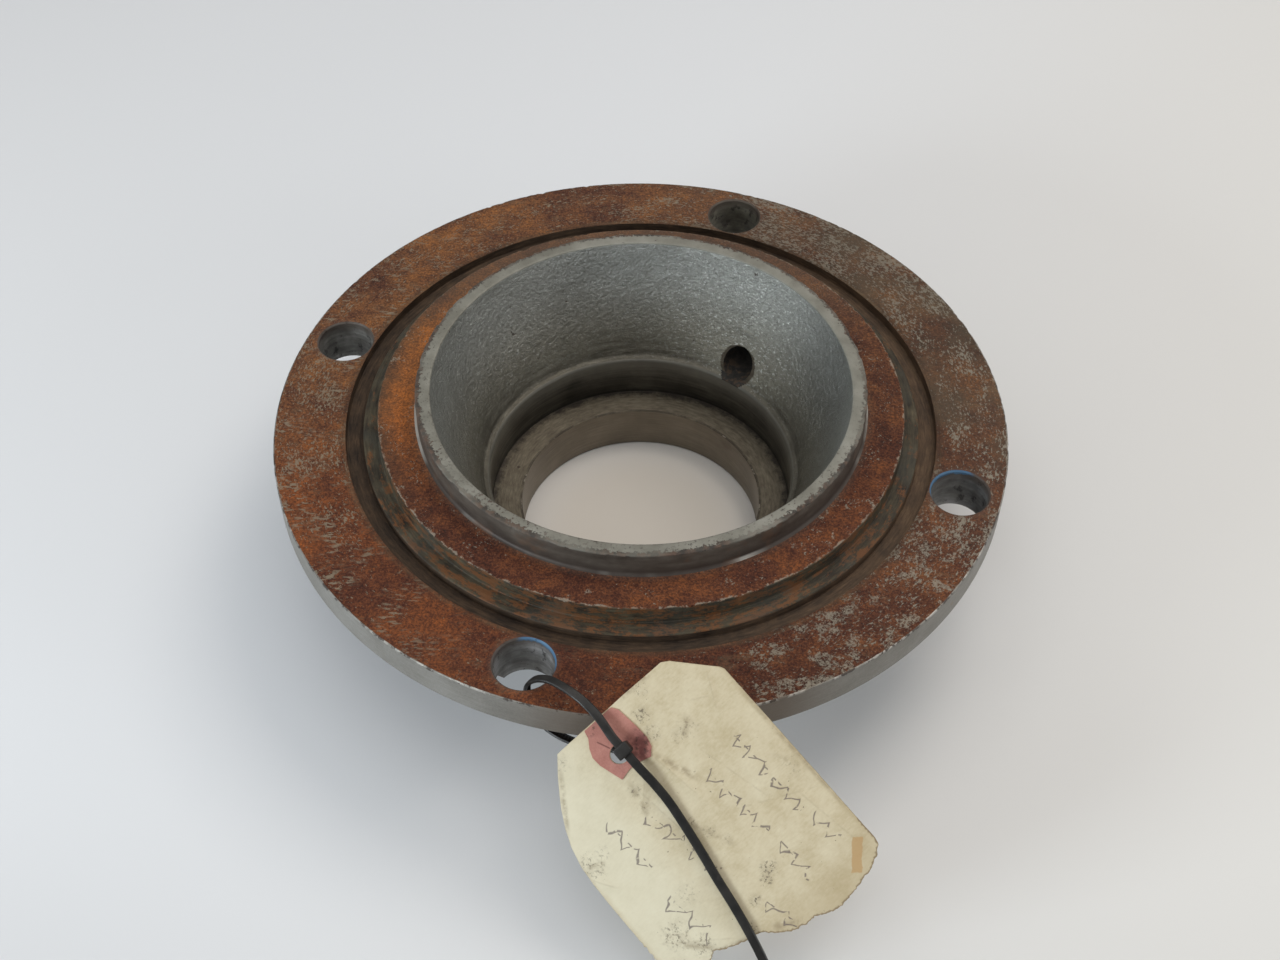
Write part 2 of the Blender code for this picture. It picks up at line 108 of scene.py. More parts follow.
# Tag: flat sizes, and how the card lies, as in the CAD
TAG_ORIGIN = Vector((-0.003, -0.1212, 0.0519))
TAG_HEADING = math.radians(-44)
TAG_PITCH = math.radians(23.2)
TAG_ROLL = math.radians(37.2)
TAG_CROWN = 0.0026
TAG_TWIST = 0.0012
TAG_SAG = 0.0003
CROWN_REACH = 0.03
SAG_REACH = 0.05
TAG_THICKNESS = 0.0005
EYELET_V = -0.0033
EYELET_RADIUS = 0.0026
PATCH_THICKNESS = 0.0003

# Cable tie, as in the CAD
STRAP_WIDTH = 0.0025
STRAP_THICKNESS = 0.0011
STRAP_STEP = 0.0005
STRAP_TIP_LENGTH = 0.006
STRAP_TIP_SCALE = 0.45
STRAP_TURN = (0.34, 0.43)
CURVE_PARTS = 16
HEAD_CENTRE_UV = (0, -0.0009)
HEAD_LIFT = 0.0031
HEAD_SIZE = (0.0036, 0.0046, 0.0036)
SLOT_CLEARANCE = 0.0003
LOOP_NORMAL = Vector((0.57, 0.82, 0))
STRAP_ROOT_UVH = ((0, -0.0026, 0.001), (0, -0.0027, -0.0012), (-0.0006, -0.0032, -0.004))
STRAP_LOOP = (
    (-0.0074, -0.1164, 0.0432), (-0.0118, -0.1138, 0.0401), (-0.0167, -0.1116, 0.0385),
    (-0.0216, -0.1091, 0.0381), (-0.026, -0.106, 0.0384), (-0.0292, -0.1033, 0.0403),
    (-0.0308, -0.1018, 0.044), (-0.0312, -0.1017, 0.0484), (-0.0311, -0.1023, 0.0526),
    (-0.0302, -0.1031, 0.0558), (-0.0279, -0.1037, 0.0583), (-0.0245, -0.1052, 0.0598),
    (-0.0208, -0.1076, 0.0601), (-0.0176, -0.1099, 0.0598), (-0.0145, -0.1125, 0.0592),
    (-0.0111, -0.1159, 0.0579),
)
STRAP_TAIL_UVH = (
    (-0.0048, -0.0009, 0.00315), (-0.0012, -0.0009, 0.0031), (0.0024, -0.0009, 0.00305),
    (0.0065, -0.0009, 0.00265), (0.012, -0.0009, 0.0018), (0.0185, -0.0012, 0.0013), (0.026, -0.0022, 0.0012),
    (0.034, -0.0035, 0.0012), (0.042, -0.005, 0.0012), (0.05, -0.0063, 0.0012), (0.058, -0.0079, 0.0013),
)
STRAP_END = (
    (0.0332, -0.1675, 0.0203), (0.0371, -0.1742, 0.0148), (0.0413, -0.1813, 0.009), (0.0456, -0.1886, 0.0038),
    (0.0487, -0.1939, 0.0015), (0.0516, -0.1989, 0.0009),
)


# ---------------------------------------------------------------- camera and light


def make_camera():
    """The camera solved from the cover's rings, with the lens and the height it was solved with."""
    right = Vector((1, 0, 0))
    up = Vector((0, math.sin(CAMERA_PITCH), math.cos(CAMERA_PITCH)))
    forward = Vector((0, math.cos(CAMERA_PITCH), -math.sin(CAMERA_PITCH)))
    side = right * math.cos(CAMERA_ROLL) + up * math.sin(CAMERA_ROLL)
    top = up * math.cos(CAMERA_ROLL) - right * math.sin(CAMERA_ROLL)
    data = bpy.data.cameras.new("camera")
    data.lens = LENS_MM
    data.sensor_width = SENSOR_MM
    data.sensor_fit = "HORIZONTAL"
    camera = bpy.data.objects.new("camera", data)
    bpy.context.scene.collection.objects.link(camera)
    turn = Matrix((side, top, -forward)).transposed().to_4x4()
    camera.matrix_world = Matrix.Translation(CAMERA_PLACE) @ turn
    bpy.context.scene.camera = camera


def add_area_light(name, place, target, size, power, colour):
    data = bpy.data.lights.new(name, "AREA")
    data.shape = "RECTANGLE"
    data.size = size[0]
    data.size_y = size[1]
    data.energy = power
    data.color = colour
    light = bpy.data.objects.new(name, data)
    bpy.context.scene.collection.objects.link(light)
    light.location = place
    light.rotation_euler = (Vector(target) - Vector(place)).to_track_quat("-Z", "Y").to_euler()


def make_light():
    world = bpy.data.worlds.new("world")
    bpy.context.scene.world = world
    world.use_nodes = True
    background = world.node_tree.nodes["Background"]
    background.inputs["Color"].default_value = (0.89, 0.89, 0.885, 1)
    background.inputs["Strength"].default_value = 0.45
    centre = (0, 0, 0.03)
    add_area_light("left_softbox", (-0.78, -0.52, 0.28), centre, (0.35, 0.35), 6, (0.85, 0.94, 1))
    add_area_light("right_softbox", (0.82, -0.34, 0.3), centre, (0.4, 0.4), 1.7, (0.96, 0.98, 1))
    add_area_light("window", (0.42, 0.32, 0.95), centre, (0.55, 0.55), 3.7, (1, 0.925, 0.84))
    add_area_light("top_softbox", (-0.1, -0.1, 1.2), centre, (1, 0.8), 2.9, (1, 0.985, 0.965))
    view = bpy.context.scene.view_settings
    view.view_transform = "Standard"
    view.look = "None"


# ---------------------------------------------------------------- node wiring


class Value:
    """A node's output, with arithmetic that wires further nodes."""

    def __init__(self, shading, socket):
        self.math = shading.math
        self.socket = socket

    def __add__(self, other):
        return self.math("ADD", self, other)

    def __radd__(self, other):
        return self.math("ADD", other, self)

    def __sub__(self, other):
        return self.math("SUBTRACT", self, other)

    def __rsub__(self, other):
        return self.math("SUBTRACT", other, self)

    def __mul__(self, other):
        return self.math("MULTIPLY", self, other)

    def __rmul__(self, other):
        return self.math("MULTIPLY", other, self)

    def __abs__(self):
        return self.math("ABSOLUTE", self)


class Shading:
    """One material, its running colour, and short calls that wire its nodes."""

    def __init__(self, name):
        self.material = bpy.data.materials.new(name)
        self.material.use_nodes = True
        self.tree = self.material.node_tree
        self.shader = self.tree.nodes["Principled BSDF"]
        self.place = self.out("ShaderNodeTexCoord", "Object")
        self.x, self.y, self.z = self.split(self.place)
        self.colour = None

    def feed(self, socket, value):
        if isinstance(value, Value):
            self.tree.links.new(value.socket, socket)
        elif isinstance(value, tuple) and len(value) == 3 and socket.type == "RGBA":
            socket.default_value = (*value, 1)
        else:
            socket.default_value = value

    def node(self, kind, *values, **settings):
        """A new node, its settings made and its first sockets fed."""
        made = self.tree.nodes.new(kind)
        for key, value in settings.items():
            setattr(made, key, value)
        for socket, value in zip(made.inputs, values):
            self.feed(socket, value)
        return made

    def out(self, kind, output=0, *values, **settings):
        return Value(self, self.node(kind, *values, **settings).outputs[output])

    def named(self, kind, output, sockets, **settings):
        """A new node's output, with sockets fed by name."""
        made = self.node(kind, **settings)
        for key, value in sockets.items():
            self.feed(made.inputs[key], value)
        return Value(self, made.outputs[output])

    def finish(self, roughness, height, distance, strength, **inputs):
        """Feed the shader its colour, roughness, bump and other inputs, and give the material."""
        bump = self.bump(height, distance, strength)
        inputs |= {"base_color": self.colour, "roughness": roughness, "normal": bump}
        for key, value in inputs.items():
            self.feed(self.shader.inputs[key.replace("_", " ").title().replace("Ior", "IOR")], value)
        return self.material

    def math(self, operation, first, second=0, third=0):
        return self.out("ShaderNodeMath", 0, first, second, third, operation=operation)

    def most(self, first, second):
        return self.math("MAXIMUM", first, second)

    def split(self, vector):
        return [Value(self, socket) for socket in self.node("ShaderNodeSeparateXYZ", vector).outputs]

    def vector(self, operation, first, second, output=0):
        return self.out("ShaderNodeVectorMath", output, first, second, operation=operation)

    def stretch(self, vector, factors):
        return self.vector("MULTIPLY", vector, factors)

    def shift(self, vector, offset):
        return self.vector("ADD", vector, offset)

    def scale(self, colour, factor):
        return self.named("ShaderNodeVectorMath", 0, {0: colour, "Scale": factor}, operation="SCALE")

    def noise(self, scale, detail=3, roughness=0.55, shift=None, stretch=None, across=None, place=None):
        """A noise texture; shift, stretch and across say how the object's coordinates are changed for it."""
        place = self.place if place is None else place
        if shift is not None:
            place = self.shift(place, shift)
        if stretch is not None:
            place = self.stretch(place, stretch)
        if across is not None:
            place = self.round_place(across)
        sockets = {"Vector": place, "Scale": scale, "Detail": detail, "Roughness": roughness}
        return self.named("ShaderNodeTexNoise", "Fac", sockets)

    def cells(self, scale):
        return self.named("ShaderNodeTexVoronoi", "Distance", {"Vector": self.place, "Scale": scale})

    def step(self, value, low, high):
        """0 below low and 1 above high, or the other way round where high is the smaller."""
        sockets = {"Value": value, "From Min": min(low, high), "From Max": max(low, high)}
        sockets |= {"To Min": int(low >= high), "To Max": int(low < high)}
        settings = {"interpolation_type": "SMOOTHSTEP", "clamp": True}
        return self.named("ShaderNodeMapRange", "Result", sockets, **settings)

    def scaled(self, value, low, high):
        """A 0 to 1 value spread from low to high."""
        return value * (high - low) + low

    def blend(self, share, first, second, kind="MIX"):
        sockets = {0: share, 6: first, 7: second}
        return self.named("ShaderNodeMix", 2, sockets, data_type="RGBA", blend_type=kind)

    def coat(self, share, paint, kind="MIX"):
        """Lay a further colour over the running one."""
        self.colour = self.blend(share, self.colour, paint, kind)

    def shade(self, factor):
        self.colour = self.scale(self.colour, factor)

    def ramp(self, value, *stops):
        made = self.node("ShaderNodeValToRGB", value)
        elements = made.color_ramp.elements
        while len(elements) < len(stops):
            elements.new(0.5)
        for element, (position, colour) in zip(elements, stops):
            element.position = position
            element.color = (*colour, 1)
        return Value(self, made.outputs[0])

    def bump(self, height, distance, strength):
        sockets = {"Strength": strength, "Distance": distance, "Height": height}
        return self.named("ShaderNodeBump", 0, sockets)

    def radius(self):
        return self.math("SQRT", self.x * self.x + self.y * self.y)

    def round_place(self, across):
        """Coordinates that stretch a pattern round the axis: across is how fine it is outwards."""
        radius = self.radius()
        flat = self.math("DIVIDE", 0.01, self.most(radius, 0.001))
        height = radius * across + self.z * across
        return self.out("ShaderNodeCombineXYZ", 0, self.x * flat, self.y * flat, height)

    def near(self, centre, low, high):
        """1 inside a ball of radius low round a point, fading to 0 at high."""
        offset = self.shift(self.place, tuple(-value for value in centre))
        return self.step(self.vector("LENGTH", offset, (0, 0, 0), "Value"), high, low)


# ---------------------------------------------------------------- casting materials

RUST_DARK = (0.034, 0.015, 0.01)
RUST_RED = (0.078, 0.029, 0.016)
RUST_BROWN = (0.12, 0.05, 0.023)
RUST_ORANGE = (0.19, 0.077, 0.027)
RUST_BRIGHT = (0.33, 0.118, 0.027)
RED_TINT = (0.86, 0.64, 0.56)
BARE_FLECK = (0.27, 0.25, 0.2)
BLUE_PAINT = (0.06, 0.15, 0.26)


def rust_layers(s, orange_push=None):
    """Mottled rust: broad patches, small blotches and a fine grain."""
    broad = s.noise(42, 4, 0.55)
    blotch = s.noise(210, 5, 0.62)
    grain = s.noise(1500, 4, 0.75)
    tone = broad * 0.36 + (blotch * 0.3 + grain * 0.34)
    if orange_push is not None:
        tone = tone + orange_push
    colour = s.ramp(
        tone, (0.37, RUST_DARK), (0.455, RUST_RED), (0.52, RUST_BROWN), (0.6, RUST_ORANGE),
        (0.72, RUST_BRIGHT),
    )
    colour = s.scale(colour, s.scaled(s.step(grain, 0.3, 0.7), 0.62, 1.38))
    return (colour, tone, grain)


def fleck_mask(s, dashes, patches, seed):
    """Bare spots: small dashes laid round the axis, and larger lacy patches.

    Each share moves its threshold, so that more of the spots show.
    """
    placed = s.shift(s.round_place(0.2), (seed, 0, 0))
    fine = s.noise(7000, 3, 0.74, place=placed)
    cluster = s.noise(720, 3, 0.5, place=placed)
    level = fine * 0.7 + cluster * 0.3 + dashes
    small = s.step(level, 0.575, 0.62)
    rough = s.noise(150, 6, 0.72, shift=(seed + 0.5, 0, 0))
    lace = s.step(s.noise(1500, 4, 0.8), 0.43, 0.53)
    large = s.step(rough + patches, 0.575, 0.63) * lace
    return s.most(small, large)


def flange_material():
    s = Shading("flange_face")
    east = s.step(s.x, -0.02, 0.08)
    south = s.step(s.y, 0.02, -0.08)
    south_east = s.step(s.x, 0.005, 0.05) * s.step(s.y, -0.01, -0.05)
    west = s.step(s.x, -0.07, -0.095) * s.step(abs(s.y + 0.01), 0.075, 0.03)
    north = s.step(s.y, 0.03, 0.08)
    push = s.step(s.x, 0, -0.1) * 0.024 - east * 0.028
    s.colour, tone, grain = rust_layers(s, push)
    red = s.step(s.y, 0.025, -0.045) * (1 - east * 0.45)
    s.coat(red, RED_TINT, "MULTIPLY")
    grey = east * (1 - south) * s.scaled(s.step(s.noise(50), 0.35, 0.65), 0.2, 0.7)
    s.coat(grey, (0.088, 0.07, 0.047))
    dashes = east * 0.06 + (west * 0.06 + north * 0.046)
    patches = south_east * 0.082 + east * 0.02
    patches = patches + s.near((0.044, -0.093, FACE_Z), 0.008, 0.026) * 0.045
    flecks = fleck_mask(s, dashes - 0.026, patches - 0.062, 0)
    wiped = s.noise(820, 4, 0.62, stretch=(0.36, 1.1, 1))
    band = s.step(s.x, -0.04, -0.085) * s.step(s.noise(75, 3, 0.6, shift=(0.5, 0.3, 0)), 0.47, 0.62)
    flecks = s.most(flecks, band * s.step(wiped, 0.535, 0.59))
    smear_place = s.stretch(s.place, (0.5, 1, 1))
    smear = s.step(s.noise(190, 5, 0.7, place=smear_place), 0.55, 0.68)
    s.coat(smear * 0.3, (0.165, 0.11, 0.064))
    fleck_colour = s.blend(s.step(s.x, -0.01, 0.05), (0.25, 0.208, 0.148), BARE_FLECK)
    s.coat(flecks * s.scaled(east * north, 0.8, 0.55), fleck_colour)
    radius = s.radius()
    inner = s.step(radius, FACE_INNER_RADIUS + 0.003, FACE_INNER_RADIUS + 0.0004) * s.scaled(
        s.noise(160, 3), 0.2, 0.9,
    )
    streak = s.noise(700, 3, 0.65, across=1)
    strip = s.ramp(
        streak, (0.38, (0.03, 0.018, 0.011)), (0.52, (0.074, 0.047, 0.026)), (0.68, (0.135, 0.092, 0.052)),
    )
    s.coat(inner * 0.85, strip)
    for angle in BOLT_ANGLES:
        centre = round_axis(BOLT_CIRCLE, angle, FACE_Z)
        ring = s.near(centre, BOLT_HOLE_RADIUS + 0.0004, BOLT_HOLE_RADIUS + 0.0022)
        s.coat(ring * 0.35, (0.1, 0.06, 0.045))
    lines = s.noise(260, 2, 0.5, across=1)
    height = grain * 0.55 + (tone * 0.8 + lines * 0.2)
    height = height - flecks * 0.25
    rough = s.scaled(s.noise(300), 0.62, 0.86) - flecks * 0.22
    return s.finish(rough, height, 0.00035, 0.75, metallic=flecks * 0.35, specular_ior_level=0.24)


def spigot_material():
    s = Shading("spigot_face")
    west = s.near((-0.08, 0.008, SPIGOT_Z), 0.012, 0.075)
    radius = s.radius()
    beside_lip = s.step(
        radius + s.noise(150, 3, 0.6) * 0.01, SPIGOT_RADIUS + 0.0055, LIP_OUTER_RADIUS + 0.0105,
    )
    push = west * s.scaled(beside_lip, 0.02, 0.148) + -0.003
    s.colour, tone, grain = rust_layers(s, push)
    olive = west * (1 - beside_lip) * 0.55
    s.coat(olive, (0.082, 0.058, 0.034))
    s.coat(s.scaled(s.step(s.y, 0.03, -0.045), 0.25, 0.85), RED_TINT, "MULTIPLY")
    south_east = s.step(s.y, 0, -0.05) * s.step(s.x, -0.02, 0.03)
    flecks = fleck_mask(s, -0.03, south_east * 0.052 - 0.066, 0.31)
    s.coat(flecks * 0.75, BARE_FLECK)
    outer = s.step(
        s.noise(420, 4, 0.7) + s.step(radius, SPIGOT_RADIUS - 0.0022, SPIGOT_RADIUS) * 0.42, 0.83, 0.95,
    )
    outer = outer * s.scaled(s.most(s.step(s.y, 0, -0.05), s.step(s.x, 0, 0.06)), 0.15, 1)
    s.coat(outer * 0.7, (0.27, 0.23, 0.18))
    inner = s.step(radius, LIP_OUTER_RADIUS + 0.0035, LIP_OUTER_RADIUS + 0.0006)
    scuffed = inner * s.scaled(s.noise(120, 3), 0.1, 0.9)
    s.coat(scuffed * 0.25, (0.2, 0.17, 0.13))
    back = s.step(s.y, 0.02, 0.07)
    s.coat(back * 0.45, (0.12, 0.088, 0.06))
    height = grain * 0.6 + tone * 0.9
    rough = s.scaled(s.noise(300), 0.58, 0.82) - flecks * 0.2
    return s.finish(rough, height, 0.00035, 0.8, specular_ior_level=0.22)


def step_material():
    """The flat step between the spigot wall and the groove, and that wall: olive grime with rust spots."""
    s = Shading("groove_step")
    streak = s.noise(1250, 4, 0.7, across=1)
    blotch = s.noise(95, 4, 0.6)
    s.colour = s.ramp(
        streak * 0.55 + blotch * 0.45, (0.36, (0.014, 0.01, 0.007)), (0.46, (0.034, 0.027, 0.017)),
        (0.56, (0.06, 0.049, 0.03)), (0.7, (0.115, 0.093, 0.058)),
    )
    south = s.step(s.y, 0, -0.06)
    patch = s.noise(1100, 5, 0.72, across=0.4)
    fine = s.noise(1100, 3, 0.7)
    spots = s.step(patch * 0.75 + fine * 0.25 + south * 0.07, 0.535, 0.635)
    s.coat(spots * 0.75, (0.15, 0.058, 0.019))
    cool = s.step(s.noise(60, 2), 0.5, 0.65)
    s.coat(cool * 0.3, (0.052, 0.056, 0.048))
    return s.finish(s.scaled(streak, 0.42, 0.8), streak + blotch, 0.0003, 0.55, specular_ior_level=0.24)


def groove_material():
    s = Shading("groove")
    streak = s.noise(1500, 4, 0.7, across=1)
    blotch = s.noise(120, 4, 0.6)
    east = s.step(s.x, 0.02, 0.08)
    tone = streak * 0.5 + blotch * 0.4 + east * 0.1
    s.colour = s.ramp(
        tone, (0.32, (0.02, 0.013, 0.009)), (0.46, (0.054, 0.035, 0.022)), (0.58, (0.096, 0.06, 0.036)),
        (0.72, (0.155, 0.105, 0.062)),
    )
    return s.finish(s.scaled(blotch, 0.55, 0.85), streak + blotch, 0.0003, 0.6, specular_ior_level=0.24)


def rim_material():
    """Bare turned steel round the flange, with nicks' black grime and a few rust stains."""
    s = Shading("rim")
    lines = s.noise(2400, 2, 0.5, stretch=(0.05, 0.05, 1))
    cloud = s.noise(55, 4, 0.6)
    fine = s.noise(1400, 2, 0.6)
    tone = cloud * 0.5 + (lines * 0.25 + fine * 0.25)
    s.colour = s.ramp(
        tone, (0.3, (0.145, 0.136, 0.12)), (0.5, (0.22, 0.21, 0.188)), (0.7, (0.3, 0.292, 0.27)),
    )
    # Painted shadow of the tag: the rim's front made darker and browner behind it.
    front = s.near((0.01, -FLANGE_RADIUS, 0.05), 0.026, 0.052)
    s.coat(front * 0.7, (0.125, 0.092, 0.066))
    stain = s.step(s.noise(70, 4, 0.6, shift=(0.7, 0.2, 0)), 0.66, 0.76)
    s.coat(stain * 0.55, (0.23, 0.135, 0.07))
    top = s.step(s.z, FACE_Z - 0.0016, FACE_Z - 0.0002)
    grime = s.step(s.noise(260, 5, 0.7) + top * 0.22, 0.7, 0.78)
    s.coat(grime * 0.85, (0.045, 0.032, 0.026))
    edge = s.step(s.z, FACE_Z - 0.0009, FACE_Z - 0.0004)
    nick = edge * s.step(s.noise(210, 4, 0.7, shift=(0.2, 0.9, 0)), 0.5, 0.56)
    nick = nick * s.step(s.noise(28, 2, shift=(0.6, 0, 0)), 0.42, 0.52)
    s.coat(nick * 0.6, (0.48, 0.46, 0.42))
    rough = s.scaled(tone, 0.42, 0.66)
    return s.finish(rough, lines + fine, 0.00012, 0.4, metallic=0.55)


def lip_top_material():
    s = Shading("lip_top")
    radius = s.radius()
    cloud = s.noise(110, 4, 0.6)
    s.colour = s.ramp(
        cloud, (0.35, (0.16, 0.155, 0.128)), (0.55, (0.215, 0.21, 0.178)), (0.75, (0.27, 0.265, 0.232)),
    )
    edge = s.step(radius, LIP_OUTER_RADIUS - 0.0024, LIP_OUTER_RADIUS)
    worn = s.noise(760, 5, 0.72) + edge * 0.3
    near = s.step(s.y, 0.01, -0.05)
    west = s.step(s.x, 0, -0.06)
    worn = worn + (near * 0.07 + west * 0.045)
    chips = s.step(worn, 0.655, 0.715)
    cluster = s.step(s.noise(62, 2), 0.36, 0.62)
    chips = chips * s.scaled(cluster, 0.35, 1)
    chip_colour = s.ramp(s.noise(500, 2), (0.4, (0.03, 0.022, 0.018)), (0.62, (0.095, 0.055, 0.038)))
    s.coat(chips * 0.9, chip_colour)
    pits = s.step(s.noise(1250, 3, 0.7), 0.62, 0.68)
    s.coat(pits * s.scaled(s.most(near, west), 0.25, 0.75), (0.06, 0.05, 0.04))
    height = s.noise(900, 2) * 0.35 - chips * 0.8
    return s.finish(s.scaled(cloud, 0.46, 0.64) + chips * 0.25, height, 0.00022, 0.8, metallic=0.2)


def lip_wall_material():
    """The lip's outer wall: dark bluish paint worn to bright metal at its foot, painted lighter there as a
    highlight on the fillet too.
    """
    s = Shading("lip_wall")
    streak = s.noise(300, 3, 0.6, stretch=(0.25, 0.25, 1))
    cloud = s.noise(80, 4, 0.6)
    s.colour = s.ramp(
        streak * 0.5 + cloud * 0.5, (0.34, (0.04, 0.031, 0.024)), (0.52, (0.08, 0.066, 0.053)),
        (0.72, (0.14, 0.122, 0.1)),
    )
    low = s.step(s.z, SPIGOT_Z + 0.004, SPIGOT_Z + 0.001)
    s.coat(low * 0.65, (0.034, 0.022, 0.017))
    foot = s.step(s.z, SPIGOT_Z + 0.0012, SPIGOT_Z + 0.0005)
    # Worn bright metal at the foot, which also stands in as a painted highlight along the fillet.
    bright = foot * s.step(s.noise(26, 3, shift=(0.4, 0, 0)), 0.52, 0.62)
    s.coat(bright * 0.7, (0.42, 0.4, 0.36))
    brown = s.step(s.noise(90, 3, 0.6, shift=(0, 0.4, 0)), 0.56, 0.7)
    s.coat(brown * 0.45, (0.13, 0.07, 0.04))
    return s.finish(s.scaled(streak, 0.48, 0.68) - bright * 0.2, streak + cloud, 0.00022, 0.5, metallic=0.2)


def chamber_material():
    """Metallic grey paint over an as-cast wall, turned bare and greasy towards the bottom, with painted shade
    deepening downwards, painted highlights and glints at the back, and a painted shade patch on the right.
    """
    s = Shading("chamber")
    peel = s.noise(780, 5, 0.7)
    lumps = s.noise(360, 3, 0.5, stretch=(1, 1, 1.4))
    glint = s.noise(880, 5, 0.76, place=s.shift(s.stretch(s.place, (0.8, 0.8, 1.5)), (0, 0, 0.6)))
    pit = s.noise(820, 4, 0.72, shift=(0.4, 0, 0.2))
    tone = s.noise(28, 3) * 0.5 + lumps * 0.5
    s.colour = s.ramp(
        tone, (0.32, (0.235, 0.24, 0.222)), (0.52, (0.285, 0.292, 0.274)), (0.72, (0.34, 0.348, 0.33)),
    )
    # Painted shade: the wall darker and warmer towards the chamber's floor.
    s.coat(s.step(s.z, LIP_Z - 0.006, CHAMBER_FLOOR_Z), (0.66, 0.61, 0.52), "MULTIPLY")
    # Painted highlight: the wall made lighter where the lamps catch it, at the back right and more weakly at
    # the back left.
    painted_highlight = s.near((0.036, 0.051, LIP_Z - 0.018), 0.01, 0.044)
    painted_highlight = s.most(painted_highlight, s.near((-0.045, 0.045, LIP_Z - 0.008), 0.008, 0.034) * 0.5)
    s.coat(s.step(pit, 0.535, 0.64) * 0.42, (0.12, 0.12, 0.108))
    # Painted glints: bright flecks laid inside the painted highlight.
    s.coat(s.step(glint, 0.54, 0.64) * s.scaled(painted_highlight, 0.2, 0.54), (0.74, 0.76, 0.74))
    # Painted shade: a darker patch on the right wall, on the lip's shaded side.
    painted_shade = s.near((0.061, 0.016, LIP_Z - 0.012), 0.008, 0.032)
    s.shade(s.scaled(painted_highlight, 1, 1.38) - painted_shade * 0.26)
    low = s.step(s.z, CHAMBER_FLOOR_Z + 0.012, CHAMBER_FLOOR_Z + 0.001)
    rings = s.noise(520, 3, 0.6, across=1)
    turned = s.ramp(
        rings, (0.36, (0.065, 0.06, 0.048)), (0.55, (0.125, 0.117, 0.096)), (0.72, (0.23, 0.218, 0.18)),
    )
    share = low * s.step(s.noise(38, 3), 0.3, 0.62)
    s.coat(share * 0.7, turned)
    ragged = s.noise(260, 5, 0.7) * 0.01
    grime = s.step(s.z + ragged, CHAMBER_FLOOR_Z + 0.0085, CHAMBER_FLOOR_Z + 0.004)
    s.coat(grime * 0.42, (0.06, 0.05, 0.038))
    mouth = s.near(
        (PORT_WALL_RADIUS * math.cos(PORT_ANGLES[0]), PORT_WALL_RADIUS * math.sin(PORT_ANGLES[0]), PORT_Z),
        0.0056, 0.0084,
    )
    crusted = s.step(mouth + s.noise(420, 4, 0.7) * 1.1, 1.08, 1.3)
    s.coat(crusted * 0.85, (0.055, 0.04, 0.026))
    rust_spot = s.step(s.noise(320, 4, 0.6, shift=(0.3, 0, 0.5)), 0.7, 0.73)
    s.coat(rust_spot * 0.8, (0.06, 0.038, 0.028))
    height = peel * s.scaled(low, 1.3, 0.4) + (lumps * 0.3 + rings * (low * 0.35))
    rough = s.scaled(peel, 0.26, 0.42) + low * 0.14
    return s.finish(rough, height, 0.00068, 0.95, metallic=0.72)


def counterbore_material():
    """The greasy wall under the chamber."""
    s = Shading("counterbore")
    rings = s.noise(900, 3, 0.6, stretch=(0.06, 0.06, 1))
    cloud = s.noise(70, 4, 0.6)
    s.colour = s.ramp(
        rings * 0.45 + cloud * 0.55, (0.32, (0.017, 0.015, 0.012)), (0.5, (0.064, 0.058, 0.047)),
        (0.66, (0.12, 0.112, 0.088)), (0.8, (0.185, 0.175, 0.14)),
    )
    foot = s.step(s.z + s.noise(240, 4, 0.7) * 0.004, LEDGE_Z + 0.0048, LEDGE_Z + 0.0016)
    s.coat(foot * 0.85, (0.012, 0.01, 0.009))
    # Painted highlight: a lighter band on the rounded shoulder at the top.
    top = s.step(s.z + cloud * 0.006, CHAMBER_FLOOR_Z - 0.0055, CHAMBER_FLOOR_Z + 0.0025)
    s.coat(top * 0.55, (0.165, 0.158, 0.132))
    return s.finish(s.scaled(cloud, 0.24, 0.55), rings + cloud, 0.00028, 0.5, metallic=0.35)


def ledge_material():
    """The seal seat: machined in rings, grimy in its outer corner, spotted."""
    s = Shading("ledge")
    radius = s.radius()
    rings = s.noise(1300, 4, 0.65, across=1)
    cloud = s.noise(85, 4, 0.6)
    s.colour = s.ramp(
        rings * 0.75 + cloud * 0.25, (0.34, (0.076, 0.062, 0.043)), (0.5, (0.124, 0.104, 0.074)),
        (0.68, (0.19, 0.164, 0.118)),
    )
    ragged = s.noise(300, 6, 0.78) * 0.009
    outer = s.step(radius + ragged, COUNTERBORE_RADIUS + 0.0014, COUNTERBORE_RADIUS + 0.0048)
    s.coat(outer * 0.88, (0.018, 0.013, 0.01))
    spots = s.step(s.noise(135, 3, 0.6, shift=(0.11, 0.31, 0)), 0.665, 0.7)
    s.coat(spots * 0.85, (0.036, 0.022, 0.017))
    line = s.step(radius, BORE_RADIUS + 0.001, BORE_RADIUS + 0.0006) * s.step(
        s.noise(110, 4, 0.65), 0.36, 0.52,
    )
    s.coat(line * 0.75, (0.036, 0.028, 0.02))
    burr = s.step(radius, BORE_RADIUS + 0.0007, BORE_RADIUS + 0.0003) * s.step(
        s.noise(210, 4, 0.65), 0.58, 0.64,
    )
    s.coat(burr * 0.6, (0.36, 0.32, 0.26))
    return s.finish(s.scaled(rings, 0.38, 0.6), rings + cloud * 0.5, 0.00014, 0.45, metallic=0.5)


def bore_material():
    s = Shading("bore")
    rings = s.noise(2600, 2, 0.5, stretch=(0.04, 0.04, 1))
    cloud = s.noise(60, 4, 0.6)
    s.colour = s.ramp(
        rings * 0.35 + cloud * 0.65, (0.34, (0.16, 0.132, 0.098)), (0.52, (0.215, 0.18, 0.136)),
        (0.7, (0.285, 0.245, 0.19)),
    )
    stain = s.step(s.noise(52, 3, 0.6, shift=(0, 0.2, 0.9)), 0.6, 0.72)
    s.coat(stain * 0.5, (0.11, 0.07, 0.05))
    return s.finish(s.scaled(cloud, 0.36, 0.52), rings, 0.0001, 0.5, metallic=0.5)


